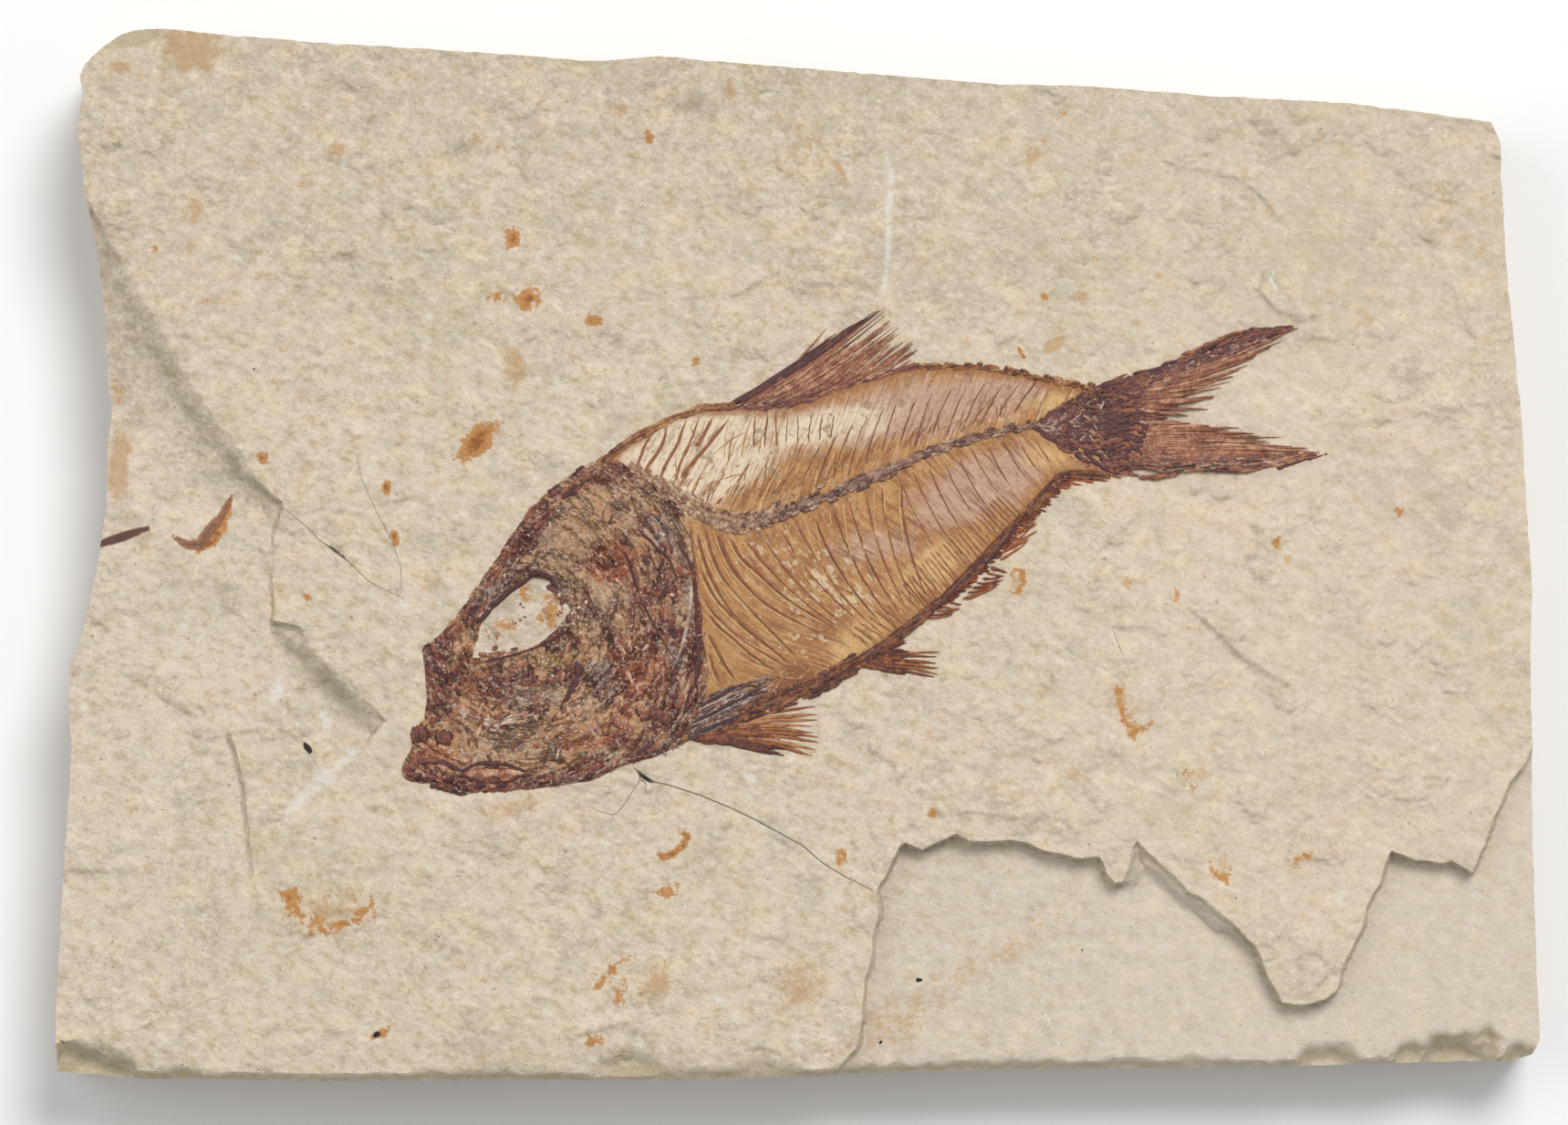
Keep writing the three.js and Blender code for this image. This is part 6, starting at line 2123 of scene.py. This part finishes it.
# The bones' colours: dark, middle and pale.
PALETTES = {
    "head": ((80, 44, 44), (146, 86, 64), (222, 184, 152)),
    "skin": ((122, 72, 50), (152, 98, 60), (210, 172, 116)),
    "grains": ((92, 58, 52), (164, 124, 96), (212, 188, 158)),
    "edge": ((84, 48, 44), (142, 88, 54), (196, 150, 100)),
    "tail": ((88, 54, 54), (150, 94, 70), (212, 166, 132)),
    "dusk": ((86, 52, 52), (148, 92, 70), (208, 164, 130)),
    "ruddy": ((100, 48, 38), (158, 88, 48), (204, 148, 92)),
    "fiery": ((84, 44, 38), (146, 84, 48), (192, 138, 90)),
    "sheen": ((116, 84, 76), (172, 140, 124), (222, 200, 180)),
    "steel": ((68, 46, 46), (128, 96, 88), (212, 196, 184)),
    "plum": ((96, 64, 58), (154, 120, 102), (214, 192, 168)),
    "eye": ((112, 68, 50), (166, 112, 78), (200, 170, 150)),
    "vertebrae": ((98, 66, 58), (152, 116, 98), (206, 184, 160)),
}


def bone_look(name: str, palette: str) -> BoneFinish:
    """Gives the finish of a name in one of the palettes."""
    return BoneFinish(name, *(linear(*colour) for colour in PALETTES[palette]))


def bones(stone: Stone) -> list[Bones]:
    """Gives everything on the fish that is made of thin bones.

    Args:
        stone: The face that the fish lies on.

    Returns:
        The pieces, not yet built.
    """
    crust, film = Skull.height(stone), stone.film
    rows = (
        ("head_splinters", SPLINTERS, "head", crust, 8, 0.06),
        ("head_bones", HEAD_BONES, "head", crust, 30, 0.1),
        ("head_sheen", HEAD_SHEEN, "sheen", crust, 7, 0.05),
        ("eye_bones", EYE_BONES, "eye", None, 14, 0.05),
        ("trunk_bones", TRUNK_BONES, "skin", film, 18, 0.05),
        ("column_front", COLUMN_FRONT, "grains", None, 6, 0.03),
        ("column_rear", COLUMN_REAR, "plum", None, 8, 0.08),
        ("edge_bones", EDGE_BONES, "edge", film, 8, 0.05),
        ("tail_fin", TAIL_RAYS, "tail", None, 16, 0.06),
        ("tail_crust", TAIL_CRUST, "tail", None, 9, 0.06),
        ("tail_sheen", TAIL_SHEEN, "sheen", None, 8, 0.06),
        ("dorsal_fin", DORSAL_RAYS, "dusk", None, 16, 0.06),
        ("anal_fin", ANAL_RAYS, "ruddy", None, 14, 0.05),
        ("pelvic_fin", PELVIC_RAYS, "fiery", None, 14, 0.08),
        ("pectoral_fin", PECTORAL_RAYS, "fiery", None, 14, 0.08),
        ("pectoral_girdle", GIRDLE, "steel", None, 14, 0.08),
    )
    first_seed, next_seed = 100, 20
    return [
        Bones(
            name, "fish", Slot.BONE, stone, bone_look(name, palette),
            sets, ground, steps, waver, first_seed + next_seed * k,
        )
        for k, (name, sets, palette, ground, steps, waver) in enumerate(rows)
    ]


@dataclass(frozen=True)
class Lamp:
    """A round soft light that faces the slab's middle.

    Attributes:
        name: The light's name.
        position: Its place, in metres.
        size: Its breadth, in metres.
        watts: Its strength.
    """

    name: str
    position: tuple[float, float, float]
    size: float
    watts: float

    def hang(self) -> None:
        """Adds the light to the scene."""
        light = bpy.data.lights.new(self.name, "AREA")
        light.shape, light.size, light.energy = "DISK", self.size, self.watts
        lamp = bpy.data.objects.new(self.name, light)
        lamp.location = self.position
        x, y, z = self.position
        lamp.rotation_euler = (math.atan2(math.hypot(x, y), z), 0, math.atan2(y, x) + math.pi / 2)
        bpy.context.scene.collection.objects.link(lamp)


@dataclass(frozen=True)
class Studio:
    """The floor, the soft lights and the camera straight above.

    Attributes:
        distance: From the fossil's face to the camera, in metres.
        sensor: The camera's sensor width, in millimetres.
        near: Where the camera begins to see, in metres.
        far: Where it stops, in metres.
        sky: Strength of the even light from all round.
        floor_half: Half the floor's width, in metres.
        floor_gap: From the slab's underside down to the floor, in millimetres.
        floor_grey: The floor's paint, the same in red, green and blue.
        floor_roughness: The floor's roughness.
        lamps: The lights.
    """

    distance: float = 0.9
    sensor: float = 36.0
    near: float = 0.05
    far: float = 10.0
    sky: float = 0.4
    floor_half: float = 1.2
    floor_gap: float = 0.02
    floor_grey: float = 0.93
    floor_roughness: float = 0.9
    lamps: tuple[Lamp, ...] = (
        Lamp("key", (0.3, 0.62, 1.0), 0.55, 9.5),
        Lamp("fill", (-0.7, 0.2, 0.9), 0.9, 2.6),
    )

    def _floor(self) -> None:
        """A wide near-white floor just under the slab."""
        half, level = self.floor_half, -self.floor_gap * MM
        mesh = bpy.data.meshes.new("floor")
        corners = [(x * half, y * half, level) for x, y in ((-1, -1), (1, -1), (1, 1), (-1, 1))]
        mesh.from_pydata(corners, [], [(0, 1, 2, 3)])
        floor = bpy.data.objects.new("floor", mesh)
        bpy.context.scene.collection.objects.link(floor)
        paint = bpy.data.materials.new("floor_white")
        paint.use_nodes = True
        inputs = paint.node_tree.nodes["Principled BSDF"].inputs
        inputs["Base Color"].default_value = (*(self.floor_grey,) * 3, 1)
        inputs["Roughness"].default_value = self.floor_roughness
        mesh.materials.append(paint)

    def _camera(self) -> None:
        """A long lens straight above the photograph's middle, framed to the photograph's width."""
        centre = place([(PHOTO_SIZE[0] / 2, PHOTO_SIZE[1] / 2)])[0] * MM
        width = PHOTO_SIZE[0] * MM_PER_PIXEL * MM
        lens = bpy.data.cameras.new("camera")
        lens.sensor_width = self.sensor
        lens.lens = self.sensor * self.distance / width
        lens.clip_start, lens.clip_end = self.near, self.far
        camera = bpy.data.objects.new("camera", lens)
        camera.location = (centre[0], centre[1], FOSSIL_PLANE * MM + self.distance)
        bpy.context.scene.collection.objects.link(camera)
        bpy.context.scene.camera = camera

    def set_up(self) -> None:
        """Adds the floor, lights and camera, and sets the view to plain colours."""
        self._floor()
        for lamp in self.lamps:
            lamp.hang()
        self._camera()
        world = bpy.data.worlds.new("sky")
        world.use_nodes = True
        inputs = world.node_tree.nodes["Background"].inputs
        inputs["Color"].default_value = (1.0, 1.0, 1.0, 1)
        inputs["Strength"].default_value = self.sky
        bpy.context.scene.world = world
        bpy.context.scene.view_settings.view_transform = "Standard"


def main() -> None:
    """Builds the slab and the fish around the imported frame, and lights them."""
    logging.basicConfig(level=logging.INFO, format="%(name)s: %(message)s", stream=sys.stdout)
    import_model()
    stone = Stone()
    pieces: list[Piece] = [
        Slab("slab_stone", "slab", Slot.STONE, stone, StoneFinish()),
        Trunk("trunk_film", "fish", Slot.BONE, stone, FilmFinish()),
        Skull("skull", "fish", Slot.BONE, stone, CrustFinish()),
        Backbone("backbone", "fish", Slot.BONE, stone, bone_look("vertebrae", "vertebrae")),
        *bones(stone),
    ]
    for piece in pieces:
        piece.build()
    Studio().set_up()


if __name__ == "__main__":
    main()
